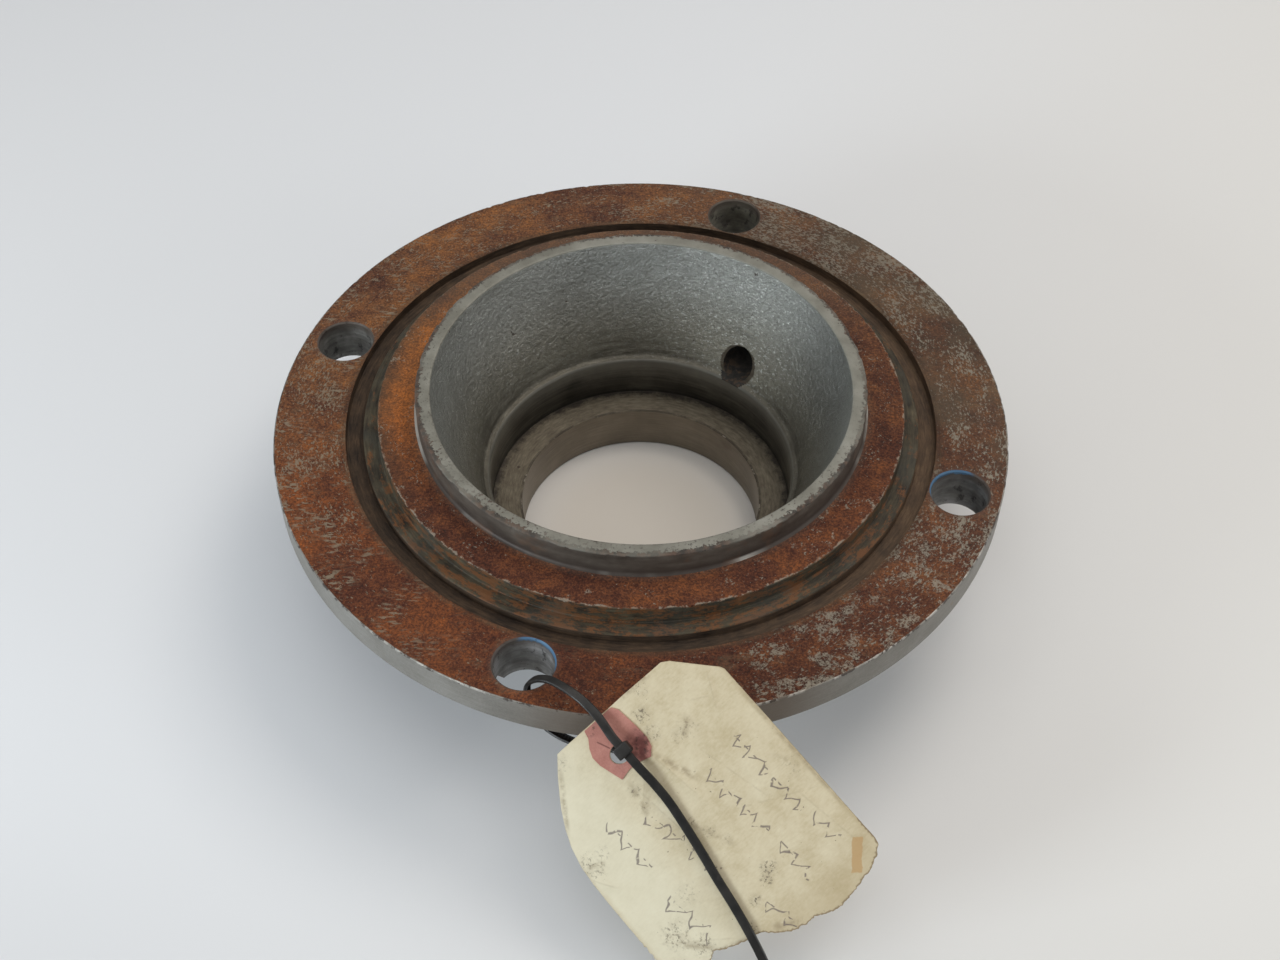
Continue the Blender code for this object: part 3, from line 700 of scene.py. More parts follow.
def bolt_hole_material():
    """Grey primer in the bolt holes, grimy in patches, with a smear of blue paint at two mouths."""
    s = Shading("bolt_hole")
    cloud = s.noise(130, 4, 0.6)
    s.colour = s.ramp(
        cloud, (0.34, (0.098, 0.092, 0.083)), (0.52, (0.19, 0.186, 0.178)), (0.7, (0.315, 0.311, 0.309)),
    )
    grime = s.step(s.noise(330, 5, 0.75, stretch=(1, 1, 0.6)), 0.55, 0.64)
    s.coat(grime * 0.75, (0.022, 0.017, 0.015))
    turned = s.noise(900, 2, 0.6, stretch=(0.12, 0.12, 1))
    s.shade(s.scaled(s.step(turned, 0.3, 0.7), 0.78, 1.18))
    s.coat(s.step(s.y, 0.01, 0.08), (0.7, 0.66, 0.52), "MULTIPLY")
    # Painted shade: the outer side of the bolt hole at -18.5 degrees made darker.
    s.shade(s.scaled(s.step(s.x, 0.096, 0.103), 1, 0.55))
    mouth = s.step(s.z, FACE_Z - 0.0044, FACE_Z - 0.0008)
    s.coat(mouth * 0.8, (0.06, 0.042, 0.032))
    ragged = s.noise(420, 4, 0.7) * 0.0035
    for angle, side, reach in (
        (BOLT_ANGLES[0], (-0.55, 0.84), 0.0105), (BOLT_ANGLES[3], (0.72, 0.69), 0.0095),
    ):
        centre = round_axis(BOLT_CIRCLE, angle, FACE_Z) + Vector((*side, 0)) * BOLT_HOLE_RADIUS
        close = s.near(centre, reach * 0.75, reach)
        high = s.step(s.z + ragged, FACE_Z + 0.0002, FACE_Z + 0.001)
        s.coat(close * high * 0.9, BLUE_PAINT)
    return s.finish(s.scaled(cloud, 0.45, 0.7), cloud + grime, 0.0003, 0.6, metallic=0.2)


def port_material():
    """The drilled ports: near-black inside as painted shade of the deep drilling, with rust crumbs at their
    mouths.
    """
    s = Shading("port")
    cloud = s.noise(420, 4, 0.7)
    radius = s.radius()
    crumbs = s.step(cloud, 0.5, 0.6) * s.step(radius, 0.06, 0.0545)
    # Near-black walls: painted shade inside the drilling.
    s.colour = s.ramp(cloud, (0.35, (0.01, 0.009, 0.008)), (0.65, (0.04, 0.034, 0.028)))
    s.coat(crumbs, (0.065, 0.042, 0.027))
    return s.finish(s.scaled(cloud, 0.6, 0.9), cloud, 0.0006, 0.9, metallic=0.1)


def hub_material():
    """The outside under the flange: grey paint over the casting skin, rusting through."""
    s = Shading("hub")
    peel = s.noise(420, 4, 0.6)
    lumps = s.noise(120, 3, 0.5)
    s.colour = s.ramp(
        lumps, (0.34, (0.15, 0.155, 0.15)), (0.54, (0.205, 0.212, 0.208)), (0.74, (0.262, 0.27, 0.265)),
    )
    rust = s.step(s.noise(48, 5, 0.65) * 0.7 + peel * 0.3, 0.525, 0.6)
    rust_tone = s.ramp(peel, (0.34, RUST_DARK), (0.54, RUST_BROWN), (0.74, RUST_ORANGE))
    s.coat(rust * 0.85, rust_tone)
    height = peel * 0.8 + lumps * 1.2
    return s.finish(s.scaled(peel, 0.4, 0.55) + rust * 0.25, height, 0.0007, 0.8, metallic=0.25)


def underside_material():
    """The turned back of the flange, thinly rusted."""
    s = Shading("underside")
    s.colour, tone, grain = rust_layers(s, None)
    rings = s.noise(520, 3, 0.6, across=1)
    metal = s.ramp(rings, (0.36, (0.12, 0.112, 0.1)), (0.68, (0.235, 0.222, 0.2)))
    bare = s.step(s.noise(60, 4, 0.6), 0.4, 0.6)
    s.coat(bare * 0.7, metal)
    return s.finish(s.scaled(tone, 0.5, 0.8), rings + grain, 0.0002, 0.5, metallic=0.3)


# ---------------------------------------------------------------- casting mesh


def link_mesh(name, builder):
    bmesh.ops.recalc_face_normals(builder, faces=builder.faces)
    mesh = bpy.data.meshes.new(name)
    builder.to_mesh(mesh)
    builder.free()
    item = bpy.data.objects.new(name, mesh)
    bpy.context.scene.collection.objects.link(item)
    return item


def finish_piece(item, material=None, sharp=32):
    """Give a piece its one material, and smooth it up to a sharp angle in degrees."""
    if material is not None:
        item.data.materials.clear()
        item.data.materials.append(material)
    item.data.shade_smooth()
    item.data.set_sharp_from_angle(angle=math.radians(sharp))


def arc(centre, radius, start_degrees, end_degrees, steps):
    points = []
    for index in range(steps + 1):
        angle = math.radians(start_degrees + (end_degrees - start_degrees) * index / steps)
        points.append((centre[0] + radius * math.cos(angle), centre[1] + radius * math.sin(angle)))
    return points


def between(first, last, steps):
    """Points strictly between two profile points."""
    return [
        (first[0] + (last[0] - first[0]) * index / steps, first[1] + (last[1] - first[1]) * index / steps)
        for index in range(1, steps)
    ]


def soft_corners(places, *sizes):
    """The corners between the first and last place, each rounded off by its size."""
    points = []
    for before, corner, after, size in zip(places, places[1:], places[2:], sizes):
        corner = Vector(corner)
        start = corner + (Vector(before) - corner).normalized() * size
        end = corner + (Vector(after) - corner).normalized() * size
        for index in range(CORNER_STEPS + 1):
            share = index / CORNER_STEPS
            rest = 1 - share
            points.append(tuple(start * rest**2 + corner * (2 * share * rest) + end * share**2))
    return points


def chamber_wall(steps):
    points = []
    for index in range(steps + 1):
        share = index / steps
        radius = LIP_INNER_RADIUS + (CHAMBER_FLOOR_RADIUS - LIP_INNER_RADIUS) * share
        height = LIP_Z - EDGE + (CHAMBER_FLOOR_Z - LIP_Z + EDGE) * share
        points.append((radius + CHAMBER_HOLLOW * math.sin(math.pi * share), height))
    return points


def casting_profile():
    """The turned section, from the bore's foot round the outside and back down the bore."""
    hub_foot = (HUB_FOOT_RADIUS, HUB_STRAIGHT)
    foot = [(BORE_RADIUS, 0.01), (BORE_RADIUS, 0), (HUB_FOOT_RADIUS, 0), hub_foot]
    fillet = arc((HUB_TOP_RADIUS + HUB_FILLET, UNDERSIDE_Z - HUB_FILLET), HUB_FILLET, 180, 90, 8)
    profile = soft_corners(foot, FOOT_CHAMFER, FOOT_CHAMFER) + [hub_foot]
    profile += between(hub_foot, fillet[0], 8) + fillet
    face = [
        fillet[-1], (FLANGE_RADIUS, UNDERSIDE_Z), (FLANGE_RADIUS, FACE_Z), (FACE_INNER_RADIUS, FACE_Z),
        (FACE_INNER_RADIUS, GROOVE_FLOOR_Z), (GROOVE_INNER_RADIUS, GROOVE_FLOOR_Z),
        (GROOVE_INNER_RADIUS, FACE_Z), (SPIGOT_RADIUS, FACE_Z), (SPIGOT_RADIUS, SPIGOT_Z),
        (LIP_OUTER_RADIUS, SPIGOT_Z),
    ]
    profile += soft_corners(face[:3], EDGE)
    profile += between((FLANGE_RADIUS, UNDERSIDE_Z + EDGE), (FLANGE_RADIUS, FACE_Z - EDGE), 6)
    profile += soft_corners(face[1:4], EDGE * 0.8)
    profile += [(FLANGE_RADIUS - inset, FACE_Z) for inset in FACE_RINGS]
    profile += soft_corners(face[2:], 0.00025, 0.0004, 0.0004, 0.0007, 0.0005, 0.0006)
    profile += [(SPIGOT_RADIUS - inset, SPIGOT_Z) for inset in SPIGOT_RINGS]
    profile += arc((LIP_OUTER_RADIUS + LIP_FILLET, SPIGOT_Z + LIP_FILLET), LIP_FILLET, 270, 180, 5)
    wall = chamber_wall(36)
    lip = [(LIP_OUTER_RADIUS, SPIGOT_Z), (LIP_OUTER_RADIUS, LIP_Z), (LIP_INNER_RADIUS, LIP_Z), wall[2]]
    profile += between((LIP_OUTER_RADIUS, SPIGOT_Z + LIP_FILLET), (LIP_OUTER_RADIUS, LIP_Z - EDGE), 4)
    profile += soft_corners(lip[:3], 0.0005)
    profile += between((LIP_OUTER_RADIUS - EDGE, LIP_Z), (LIP_INNER_RADIUS + EDGE, LIP_Z), 3)
    profile += soft_corners(lip[1:], 0.0005) + wall[1:-1]
    shoulder = (COUNTERBORE_RADIUS, CHAMBER_FLOOR_Z - 0.001)
    ledge_corner = (COUNTERBORE_RADIUS, LEDGE_Z)
    profile += soft_corners([*wall[-2:], shoulder, ledge_corner], 0.0006, 0.0009)
    profile += between((COUNTERBORE_RADIUS, shoulder[1] - 0.0009), ledge_corner, 5)
    bore_corner = (BORE_RADIUS, LEDGE_Z)
    profile += soft_corners([shoulder, ledge_corner, bore_corner, (BORE_RADIUS, 0)], 0.0005, 0.0003)
    profile += between((BORE_RADIUS, LEDGE_Z - 0.0003), (BORE_RADIUS, FOOT_CHAMFER), 5)
    return profile


def chip(place, scale, low, high):
    """0 to 1 where a seeded noise passes a threshold."""
    value = noise.fractal(place * scale, 0.7, 2, 3)
    return min(max((value - low) / (high - low), 0), 1)


def cast_shift(radius, height, place):
    """How far a surface point stands off the true turned shape: outwards, and up."""
    rim_edge = math.hypot(radius - FLANGE_RADIUS, height - FACE_Z)
    if rim_edge < 0.0008:
        nick = chip(place, 330, 0.34, 0.8)
        return (-0.00022 * nick, -0.00024 * nick)
    lip_edge = math.hypot(radius - LIP_OUTER_RADIUS, height - LIP_Z)
    if lip_edge < 0.0009:
        nick = chip(place, 240, 0.12, 0.6)
        return (-0.0003 * nick, -0.0003 * nick)
    spigot_edge = math.hypot(radius - SPIGOT_RADIUS, height - SPIGOT_Z)
    if spigot_edge < 0.0009:
        nick = chip(place, 260, 0.1, 0.6)
        return (-0.0003 * nick, -0.00028 * nick)
    if CHAMBER_FLOOR_Z + 0.001 < height < LIP_Z - 0.0012 and radius < LIP_INNER_RADIUS + 0.0005:
        fade = min((height - CHAMBER_FLOOR_Z) / 0.014, 1) * min((LIP_Z - height) / 0.003, 1)
        lump = noise.fractal(place * 62, 0.8, 2, 3) * 0.0003 + noise.noise(place * 420) * 6e-05
        return (lump * fade, 0)
    if 0.0012 < height < UNDERSIDE_Z - 0.0005 and radius > HUB_FOOT_RADIUS - 0.0005:
        lump = noise.fractal(place * 70, 0.8, 2, 3) * 0.0003
        return (min(lump, 0.0004), 0)
    return 0, 0


def skin(builder, rings, ends=True):
    """Faces between neighbouring rings of vertices, and over the first and last one."""
    for here, ahead in zip(rings, rings[1:]):
        for index in range(len(here)):
            following = (index + 1) % len(here)
            builder.faces.new((here[index], here[following], ahead[following], ahead[index]))
    if ends:
        builder.faces.new(rings[0])
        builder.faces.new(rings[-1])


def round_axis(radius, angle, height=0):
    return Vector((radius * math.cos(angle), radius * math.sin(angle), height))


def turned_mesh(profile):
    builder = bmesh.new()
    rings = []
    for index in range(TURN_SEGMENTS):
        outward = round_axis(1, 2 * math.pi * index / TURN_SEGMENTS)
        ring = []
        for radius, height in profile:
            out, up = cast_shift(radius, height, outward * radius + Vector((0, 0, height)))
            ring.append(builder.verts.new(outward * (radius + out) + Vector((0, 0, height + up))))
        rings.append(ring)
    skin(builder, rings + rings[:1], ends=False)
    return builder


def solid_tool(name, levels):
    """A closed tool of stacked rings, given as level(turn) places."""
    builder = bmesh.new()
    turns = [2 * math.pi * index / DRILL_SEGMENTS for index in range(DRILL_SEGMENTS)]
    skin(builder, [[builder.verts.new(level(turn)) for turn in turns] for level in levels])
    return link_mesh(name, builder)


def turned_tool(name, profile):
    """A round solid_tool, given as (radius, height) places."""
    levels = [lambda turn, level=level: round_axis(level[0], turn, level[1]) for level in profile]
    return solid_tool(name, levels)


def cut(item, tool, operation):
    """Apply one boolean with a tool object and throw the tool away."""
    modifier = item.modifiers.new(tool.name, "BOOLEAN")
    modifier.object = tool
    modifier.operation = operation
    modifier.solver = "MANIFOLD"
    bpy.context.view_layer.update()
    graph = bpy.context.evaluated_depsgraph_get()
    result = bpy.data.meshes.new_from_object(item.evaluated_get(graph), depsgraph=graph)
    item.modifiers.clear()
    item.data = result
    bpy.data.objects.remove(tool, do_unlink=True)


def port_tool(name, profile, angle):
    tool = turned_tool(name, profile)
    turn = Matrix.Rotation(angle, 4, "Z") @ Matrix.Rotation(math.pi / 2, 4, "Y")
    tool.data.transform(Matrix.Translation((0, 0, PORT_Z)) @ turn)
    return tool


def way_out(start, heading, centre, radius):
    """How far it is from a point inside a circle to the circle."""
    offset = start - centre
    along = offset.dot(heading)
    return math.sqrt(along * along - offset.length_squared + radius * radius) - along


def pad_tool(index, angle):
    """The cast pad behind a bolt hole, its outer side held inside the rim."""
    centre = round_axis(1, angle).xy * BOLT_CIRCLE
    middle = round_axis(1, angle).xy * min(BOLT_CIRCLE, PAD_REACH[index] - PAD_SPREAD)

    def level(height, spread, inset):
        def place(turn):
            heading = round_axis(1, turn).xy
            round_hole = way_out(middle, heading, centre, PAD_RADIUS - inset)
            in_rim = way_out(middle, heading, Vector((0, 0)), PAD_REACH[index] + spread - inset)
            return (*(middle + heading * min(round_hole, in_rim)), height)

        return place

    foot = UNDERSIDE_Z - PAD_DEPTH
    levels = (
        level(foot, 0, PAD_EDGE), level(foot + PAD_EDGE, 0, 0), level(UNDERSIDE_Z, PAD_SPREAD, 0),
        level(UNDERSIDE_Z + PAD_ROOT, PAD_SPREAD, 0),
    )
    return solid_tool(f"pad_tool_{index}", levels)


def bolt_tool(index, angle):
    wide = BOLT_HOLE_RADIUS + BOLT_HOLE_MOUTH
    past = wide + CUT_MARGIN * 0.1
    back = UNDERSIDE_Z - PAD_DEPTH
    profile = (
        (past, back - CUT_MARGIN), (wide, back), (BOLT_HOLE_RADIUS, back + BOLT_HOLE_MOUTH),
        (BOLT_HOLE_RADIUS, (back + FACE_Z) / 2), (BOLT_HOLE_RADIUS, FACE_Z - BOLT_HOLE_MOUTH), (wide, FACE_Z),
        (past, FACE_Z + CUT_MARGIN),
    )
    tool = turned_tool(f"bolt_tool_{index}", profile)
    tool.data.transform(Matrix.Translation(round_axis(BOLT_CIRCLE, angle)))
    return tool


# Which finish a face takes: its zone, radius from and to, height from and to; the first that fits
ZONES = (
    ("rim", FLANGE_RADIUS - EDGE * 0.9, 1, UNDERSIDE_Z - 0.0001, 1),
    ("lip_top", LIP_INNER_RADIUS - 0.0001, 1, LIP_Z - 0.0004, 1),
    ("flange", FACE_INNER_RADIUS, 1, FACE_Z - 0.00012, 1),
    ("groove", GROOVE_INNER_RADIUS - 0.0001, FACE_INNER_RADIUS + 0.0001, GROOVE_FLOOR_Z - 0.0002, 1),
    ("step", SPIGOT_RADIUS - 0.0002, FACE_INNER_RADIUS, UNDERSIDE_Z + 0.002, 1),
    ("spigot", LIP_OUTER_RADIUS + 0.0007, SPIGOT_RADIUS + 0.001, SPIGOT_Z - 0.0008, SPIGOT_Z + 0.0003),
    ("lip_wall", LIP_OUTER_RADIUS - 0.0006, 1, SPIGOT_Z - 0.0001, 1),
    ("chamber", 0, LIP_INNER_RADIUS + 0.001, CHAMBER_FLOOR_Z - 0.0006, 1),
    ("bore", 0, BORE_RADIUS + 0.00025, -1, LEDGE_Z - 0.0001),
    ("counterbore", 0, COUNTERBORE_RADIUS + 0.002, LEDGE_Z + 0.0002, 1),
    ("ledge", 0, COUNTERBORE_RADIUS + 0.0001, LEDGE_Z - 0.0004, 1),
    ("underside", HUB_TOP_RADIUS + HUB_FILLET * 0.8, 1, -1, 1),
    ("hub", 0, 1, -1, 1),
)


def zone_of(centre, normal):
    """The zone of a face of the casting, from where it lies and which way it looks."""
    for angle in BOLT_ANGLES:
        off_axis = (centre - round_axis(BOLT_CIRCLE, angle, centre.z)).length
        if off_axis < BOLT_HOLE_RADIUS + BOLT_HOLE_MOUTH and abs(normal.z) < 0.9:
            return "bolt_hole"
    for angle in PORT_ANGLES:
        outward = round_axis(1, angle)
        offset = centre - Vector((0, 0, PORT_Z))
        along = offset.dot(outward)
        in_drill = PORT_RADIUS - 0.0004 < (offset - outward * along).length < PORT_MOUTH_RADIUS - 0.0001
        if along > PORT_START and in_drill and abs(normal.dot(outward)) < 0.85:
            return "port"
    radius = math.hypot(centre.x, centre.y)
    for zone, radius_from, radius_to, height_from, height_to in ZONES:
        if radius_from < radius < radius_to and height_from < centre.z < height_to:
            return zone


def make_casting():
    item = link_mesh("casting", turned_mesh(casting_profile()))
    for index, angle in enumerate(PORT_ANGLES):
        boss = [
            (BOSS_RADIUS, BOSS_START), (BOSS_RADIUS, BOSS_END - BOSS_CHAMFER),
            (BOSS_RADIUS - BOSS_CHAMFER * 0.3, BOSS_END - BOSS_CHAMFER * 0.3),
            (BOSS_RADIUS - BOSS_CHAMFER, BOSS_END),
        ]
        cut(item, port_tool(f"boss_tool_{index}", boss, angle), "UNION")
    for index, angle in enumerate(PORT_ANGLES):
        drill = [
            (PORT_RADIUS, PORT_START), (PORT_RADIUS, BOSS_END - PORT_MOUTH_DEPTH),
            (PORT_MOUTH_RADIUS, BOSS_END), (PORT_MOUTH_RADIUS, BOSS_END + CUT_MARGIN),
        ]
        cut(item, port_tool(f"port_tool_{index}", drill, angle), "DIFFERENCE")
    for index, angle in enumerate(BOLT_ANGLES):
        cut(item, pad_tool(index, angle), "UNION")
    for index, angle in enumerate(BOLT_ANGLES):
        cut(item, bolt_tool(index, angle), "DIFFERENCE")
    finishes = {
        "flange": flange_material, "spigot": spigot_material, "step": step_material,
        "groove": groove_material, "rim": rim_material, "lip_top": lip_top_material,
        "lip_wall": lip_wall_material, "chamber": chamber_material, "counterbore": counterbore_material,
        "ledge": ledge_material, "bore": bore_material, "bolt_hole": bolt_hole_material,
        "port": port_material, "hub": hub_material, "underside": underside_material,
    }
    item.data.materials.clear()
    for make_material in finishes.values():
        item.data.materials.append(make_material())
    places = {zone: index for index, zone in enumerate(finishes)}
    for face in item.data.polygons:
        face.material_index = places[zone_of(face.center, face.normal)]
    finish_piece(item)
    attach(item, "cover")
    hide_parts("cover_casting")


# ---------------------------------------------------------------- tag


def tag_axes():
    """Unit vectors along the card, across it and out of its face."""
    ahead = Vector((math.cos(TAG_HEADING), math.sin(TAG_HEADING), 0))
    left = Vector((-math.sin(TAG_HEADING), math.cos(TAG_HEADING), 0))
    up = Vector((0, 0, 1))
    along = ahead * math.cos(TAG_PITCH) - up * math.sin(TAG_PITCH)
    raised = ahead * math.sin(TAG_PITCH) + up * math.cos(TAG_PITCH)
    across = left * math.cos(TAG_ROLL) + raised * math.sin(TAG_ROLL)
    outward = -left * math.sin(TAG_ROLL) + raised * math.cos(TAG_ROLL)
    return (along, across, outward)


TAG_ALONG, TAG_ACROSS, TAG_OUTWARD = tag_axes()


def on_tag(u, v, height=0):
    """A point of the lying card: u along, v across, height above its middle."""
    bend = -TAG_CROWN * (v / CROWN_REACH) ** 2
    bend -= TAG_TWIST * (u / SAG_REACH) * (v / CROWN_REACH)
    bend -= TAG_SAG * (u / SAG_REACH) ** 2
    return TAG_ORIGIN + TAG_ALONG * u + TAG_ACROSS * v + TAG_OUTWARD * (bend + height)


# The card's outline in millimetres, u then v: clipped end, right side, torn end, left side
TAG_OUTLINE = (
    (-11.2, -16.6), (-11.2, -6), (-11.2, 8), (-11, 21.6), (-9.8, 23.6), (-3.8, 28.9), (0.4, 32.7),
    (1.6, 33.2), (20, 33.3), (44, 33.3), (61, 33.3), (62.6, 33), (64.7, 30.9), (65.6, 29), (66.6, 26.8),
    (67.1, 24), (67.8, 20.9), (68.3, 17), (68.3, 13.9), (67.6, 11.2), (66, 8), (65.8, 4.6), (65, 0.7),
    (62.9, -2.2), (59.8, -6), (59.4, -9.6), (58.2, -13), (57.2, -16.2), (55.7, -19), (57, -21.4), (57.4, -25),
    (56.2, -29), (56.4, -33.2), (40, -33.3), (28, -33.3), (21.6, -33.1), (16, -32.6), (10.4, -31.2),
    (5.2, -28.9), (0.6, -26.2), (-3.2, -23.4), (-7, -20.4),
)


def inside(u, v, outline):
    """Whether a flat place lies inside a closed outline."""
    crossings = 0
    for (u_from, v_from), (u_to, v_to) in zip(outline, outline[1:] + outline[:1]):
        if (v_from > v) != (v_to > v):
            if u < u_from + (v - v_from) / (v_to - v_from) * (u_to - u_from):
                crossings += 1
    return crossings % 2 == 1


def segment_distance(u, v, start, end):
    along_u = end[0] - start[0]
    along_v = end[1] - start[1]
    share = ((u - start[0]) * along_u + (v - start[1]) * along_v) / (along_u ** 2 + along_v ** 2)
    share = min(max(share, 0), 1)
    return (math.hypot(u - start[0] - along_u * share, v - start[1] - along_v * share), share)


CREASE_SHARE = 1.5
# Creases in millimetres: from, to, depth and width
TAG_CREASES = (
    ((3.5, 3), (26, 6.5), 0.24, 1.4), ((9, -6), (33, -3), -0.14, 1.3), ((-1.5, 29.5), (9.5, 24), 0.12, 0.8),
    ((1.5, 20.5), (4.5, 26), 0.1, 0.5), ((20, -33), (27, -28), 0.2, 1.2), ((9, -2), (16, -9), 0.18, 1),
    ((36, 26), (62, 30), 0.13, 1.6), ((30, 8), (42, 33), -0.12, 2.2), ((44, -31), (58, -10), 0.16, 1.7),
    ((12, 14), (36, 20), -0.1, 2.4),
)


def tag_relief(u, v):
    """Creases and gentle waves of the card, in metres, from a flat place in metres."""
    u_mm = u * 1000
    v_mm = v * 1000
    relief = 0
    for start, end, depth, width in TAG_CREASES:
        distance, share = segment_distance(u_mm, v_mm, start, end)
        fade = math.sin(math.pi * min(max(share, 0.02), 0.98)) ** 0.5
        relief += CREASE_SHARE * depth * fade * math.exp(-(distance / width) ** 2)
    wave = noise.fractal(Vector((u * 38, v * 38, 0.4)), 0.9, 2, 3)
    relief += 0.16 * wave
    return relief / 1000


TORN_SPAN = (11, 33)
# How worn the outline's edge looks: torn end and cut sides
TORN_WEAR = 1
EDGE_WEAR = 0.45
EDGE_WEAR_U = 54
CARD_SPACING_MM = 0.75
EYELET_SIDES = 40
PATCH_SPACING_MM = 0.45

# The front patch's outline in millimetres
PATCH_OUTLINE = (
    (-10.9, -6.4), (-10.9, 3.4), (-9.2, 4.6), (-6, 5), (-2.6, 5.4), (1.6, 5.6), (4.2, 5), (6.1, 3.2),
    (5.2, -0.2), (4.8, -3.6), (5.6, -7.2), (2, -8.4), (-1.2, -9.4), (-4, -9.6), (-6.4, -8.6), (-8.6, -7),
)
# Where the tie's head has pressed the card in, and the bulge it pushed up beyond
DENT = ((1.6, 2.4), 3, -0.3)
BULGE = ((4.8, 3.4), 2.6, 0.55)


def finer_outline(outline, spacing, ragged=None):
    """The outline walked in short steps; ragged gives each place a sideways push in millimetres."""
    points = []
    for index, (start, end) in enumerate(zip(outline, outline[1:] + outline[:1])):
        length = math.hypot(end[0] - start[0], end[1] - start[1])
        count = max(1, round(length / spacing))
        for part in range(count):
            share = part / count
            u = start[0] + (end[0] - start[0]) * share
            v = start[1] + (end[1] - start[1]) * share
            if ragged is not None:
                push = ragged(index, u, v)
                u += push * (end[1] - start[1]) / length
                v -= push * (end[0] - start[0]) / length
            points.append((u, v))
    return tuple(points)


def torn_push(index, u, v):
    if TORN_SPAN[0] <= index < TORN_SPAN[1]:
        return 0.34 * noise.fractal(Vector((u * 0.9, v * 0.9, 3)), 0.6, 2, 3)
    return 0.05 * noise.noise(Vector((u * 0.5, v * 0.5, 1)))


def press(u, v):
    """The dent under the tie's head and the bulge beside it, in metres."""
    relief = 0
    for (centre_u, centre_v), reach, depth in (DENT, BULGE):
        distance = math.hypot(u * 1000 - centre_u, v * 1000 - centre_v)
        relief += depth * math.exp(-(distance / reach) ** 2)
    return relief / 1000


def flat_fill(outline, hole, spacing):
    """Triangles that fill a flat outline round a hole, with evenly spread inner places."""
    places = []
    edges = []
    for ring in (outline, hole):
        start = len(places)
        places += [Vector(point) for point in ring]
        edges += [(start + index, start + (index + 1) % len(ring)) for index in range(len(ring))]
    (low_u, high_u), (low_v, high_v) = ((min(line), max(line)) for line in zip(*outline))
    rows = int((high_u - low_u) / (spacing * 0.866)) + 1
    columns = int((high_v - low_v) / spacing) + 1
    crowded = {}
    for point in places:
        crowded.setdefault((int(point.x // spacing), int(point.y // spacing)), []).append(point)
    for row in range(rows):
        for column in range(columns):
            u = low_u + row * spacing * 0.866
            v = low_v + (column + 0.5 * (row % 2)) * spacing
            if not inside(u, v, outline) or inside(u, v, hole):
                continue
            cell = (int(u // spacing), int(v // spacing))
            near = [
                point
                for du in (-1, 0, 1)
                for dv in (-1, 0, 1)
                for point in crowded.get((cell[0] + du, cell[1] + dv), ())
            ]
            if all((point - Vector((u, v))).length >= spacing * 0.55 for point in near):
                places.append(Vector((u, v)))
    out_places, _, out_faces = delaunay_2d_cdt(places, edges, [], 1, 1e-05)[:3]
    faces = []
    for face in out_faces:
        centre = sum((out_places[index] for index in face), Vector((0, 0))) / len(face)
        if inside(centre.x, centre.y, outline) and not inside(centre.x, centre.y, hole):
            faces.append(tuple(face))
    return out_places, faces


def thin_sheet(name, outline, hole, spacing, low, high, wear=()):
    """A thin closed sheet; low and high give each flat place its two heights off the card's middle.

    wear says how worn each place of the outline is.
    """
    places, faces = flat_fill(outline, hole, spacing)
    builder = bmesh.new()
    flat_map = builder.loops.layers.uv.new("flat")
    worn = builder.verts.layers.float.new("worn")
    flats = [(place.x / 1000, place.y / 1000) for place in places]
    layers = [[builder.verts.new(on_tag(*uv, height(*uv))) for uv in flats] for height in (low, high)]
    flat = {}
    for layer in layers:
        for index, (vertex, uv) in enumerate(zip(layer, flats)):
            flat[vertex] = uv
            vertex[worn] = wear[index] if index < len(wear) else 0
    borders = {}
    for face in faces:
        for first, second in zip(face, face[1:] + face[:1]):
            borders[first, second] = borders.get((first, second), 0) + 1
        builder.faces.new([layers[1][index] for index in face])
        builder.faces.new([layers[0][index] for index in reversed(face)])
    for first, second in borders:
        if (second, first) not in borders:
            builder.faces.new((layers[1][second], layers[1][first], layers[0][first], layers[0][second]))
    for face in builder.faces:
        for loop in face.loops:
            loop[flat_map].uv = flat[loop.vert]
    loose = [vertex for vertex in builder.verts if not vertex.link_faces]
    bmesh.ops.delete(builder, geom=loose, context="VERTS")
    return link_mesh(name, builder)


def eyelet_ring(scale=1):
    ring = []
    for index in range(EYELET_SIDES):
        angle = 2 * math.pi * index / EYELET_SIDES
        radius = EYELET_RADIUS * 1000 * scale * (1 + 0.03 * math.sin(3 * angle))
        ring.append((radius * math.cos(angle), EYELET_V * 1000 + radius * math.sin(angle)))
    return tuple(ring)


def card_surface(side):

    def height(u, v):
        return side * TAG_THICKNESS / 2 + tag_relief(u, v) + press(u, v)
    return height


def patch_surface(side, share):
    """share is 0 for the face next to the card and 1 for the outer one."""
    gap = TAG_THICKNESS / 2 + 4e-05 + PATCH_THICKNESS * share

    def height(u, v):
        wrinkle = 7e-05 * noise.noise(Vector((u * 420, v * 420, 2))) * share
        return side * (gap + wrinkle) + tag_relief(u, v) + press(u, v)
    return height


def flat_place(s):
    s.place = s.out("ShaderNodeUVMap", uv_map="flat")
    return s.split(s.place)


def spot(s, centre, reach, share=1):
    """1 near a flat centre in millimetres, fading outwards."""
    return s.near((centre[0] / 1000, centre[1] / 1000, 0), reach / 4000, reach / 1000) * share


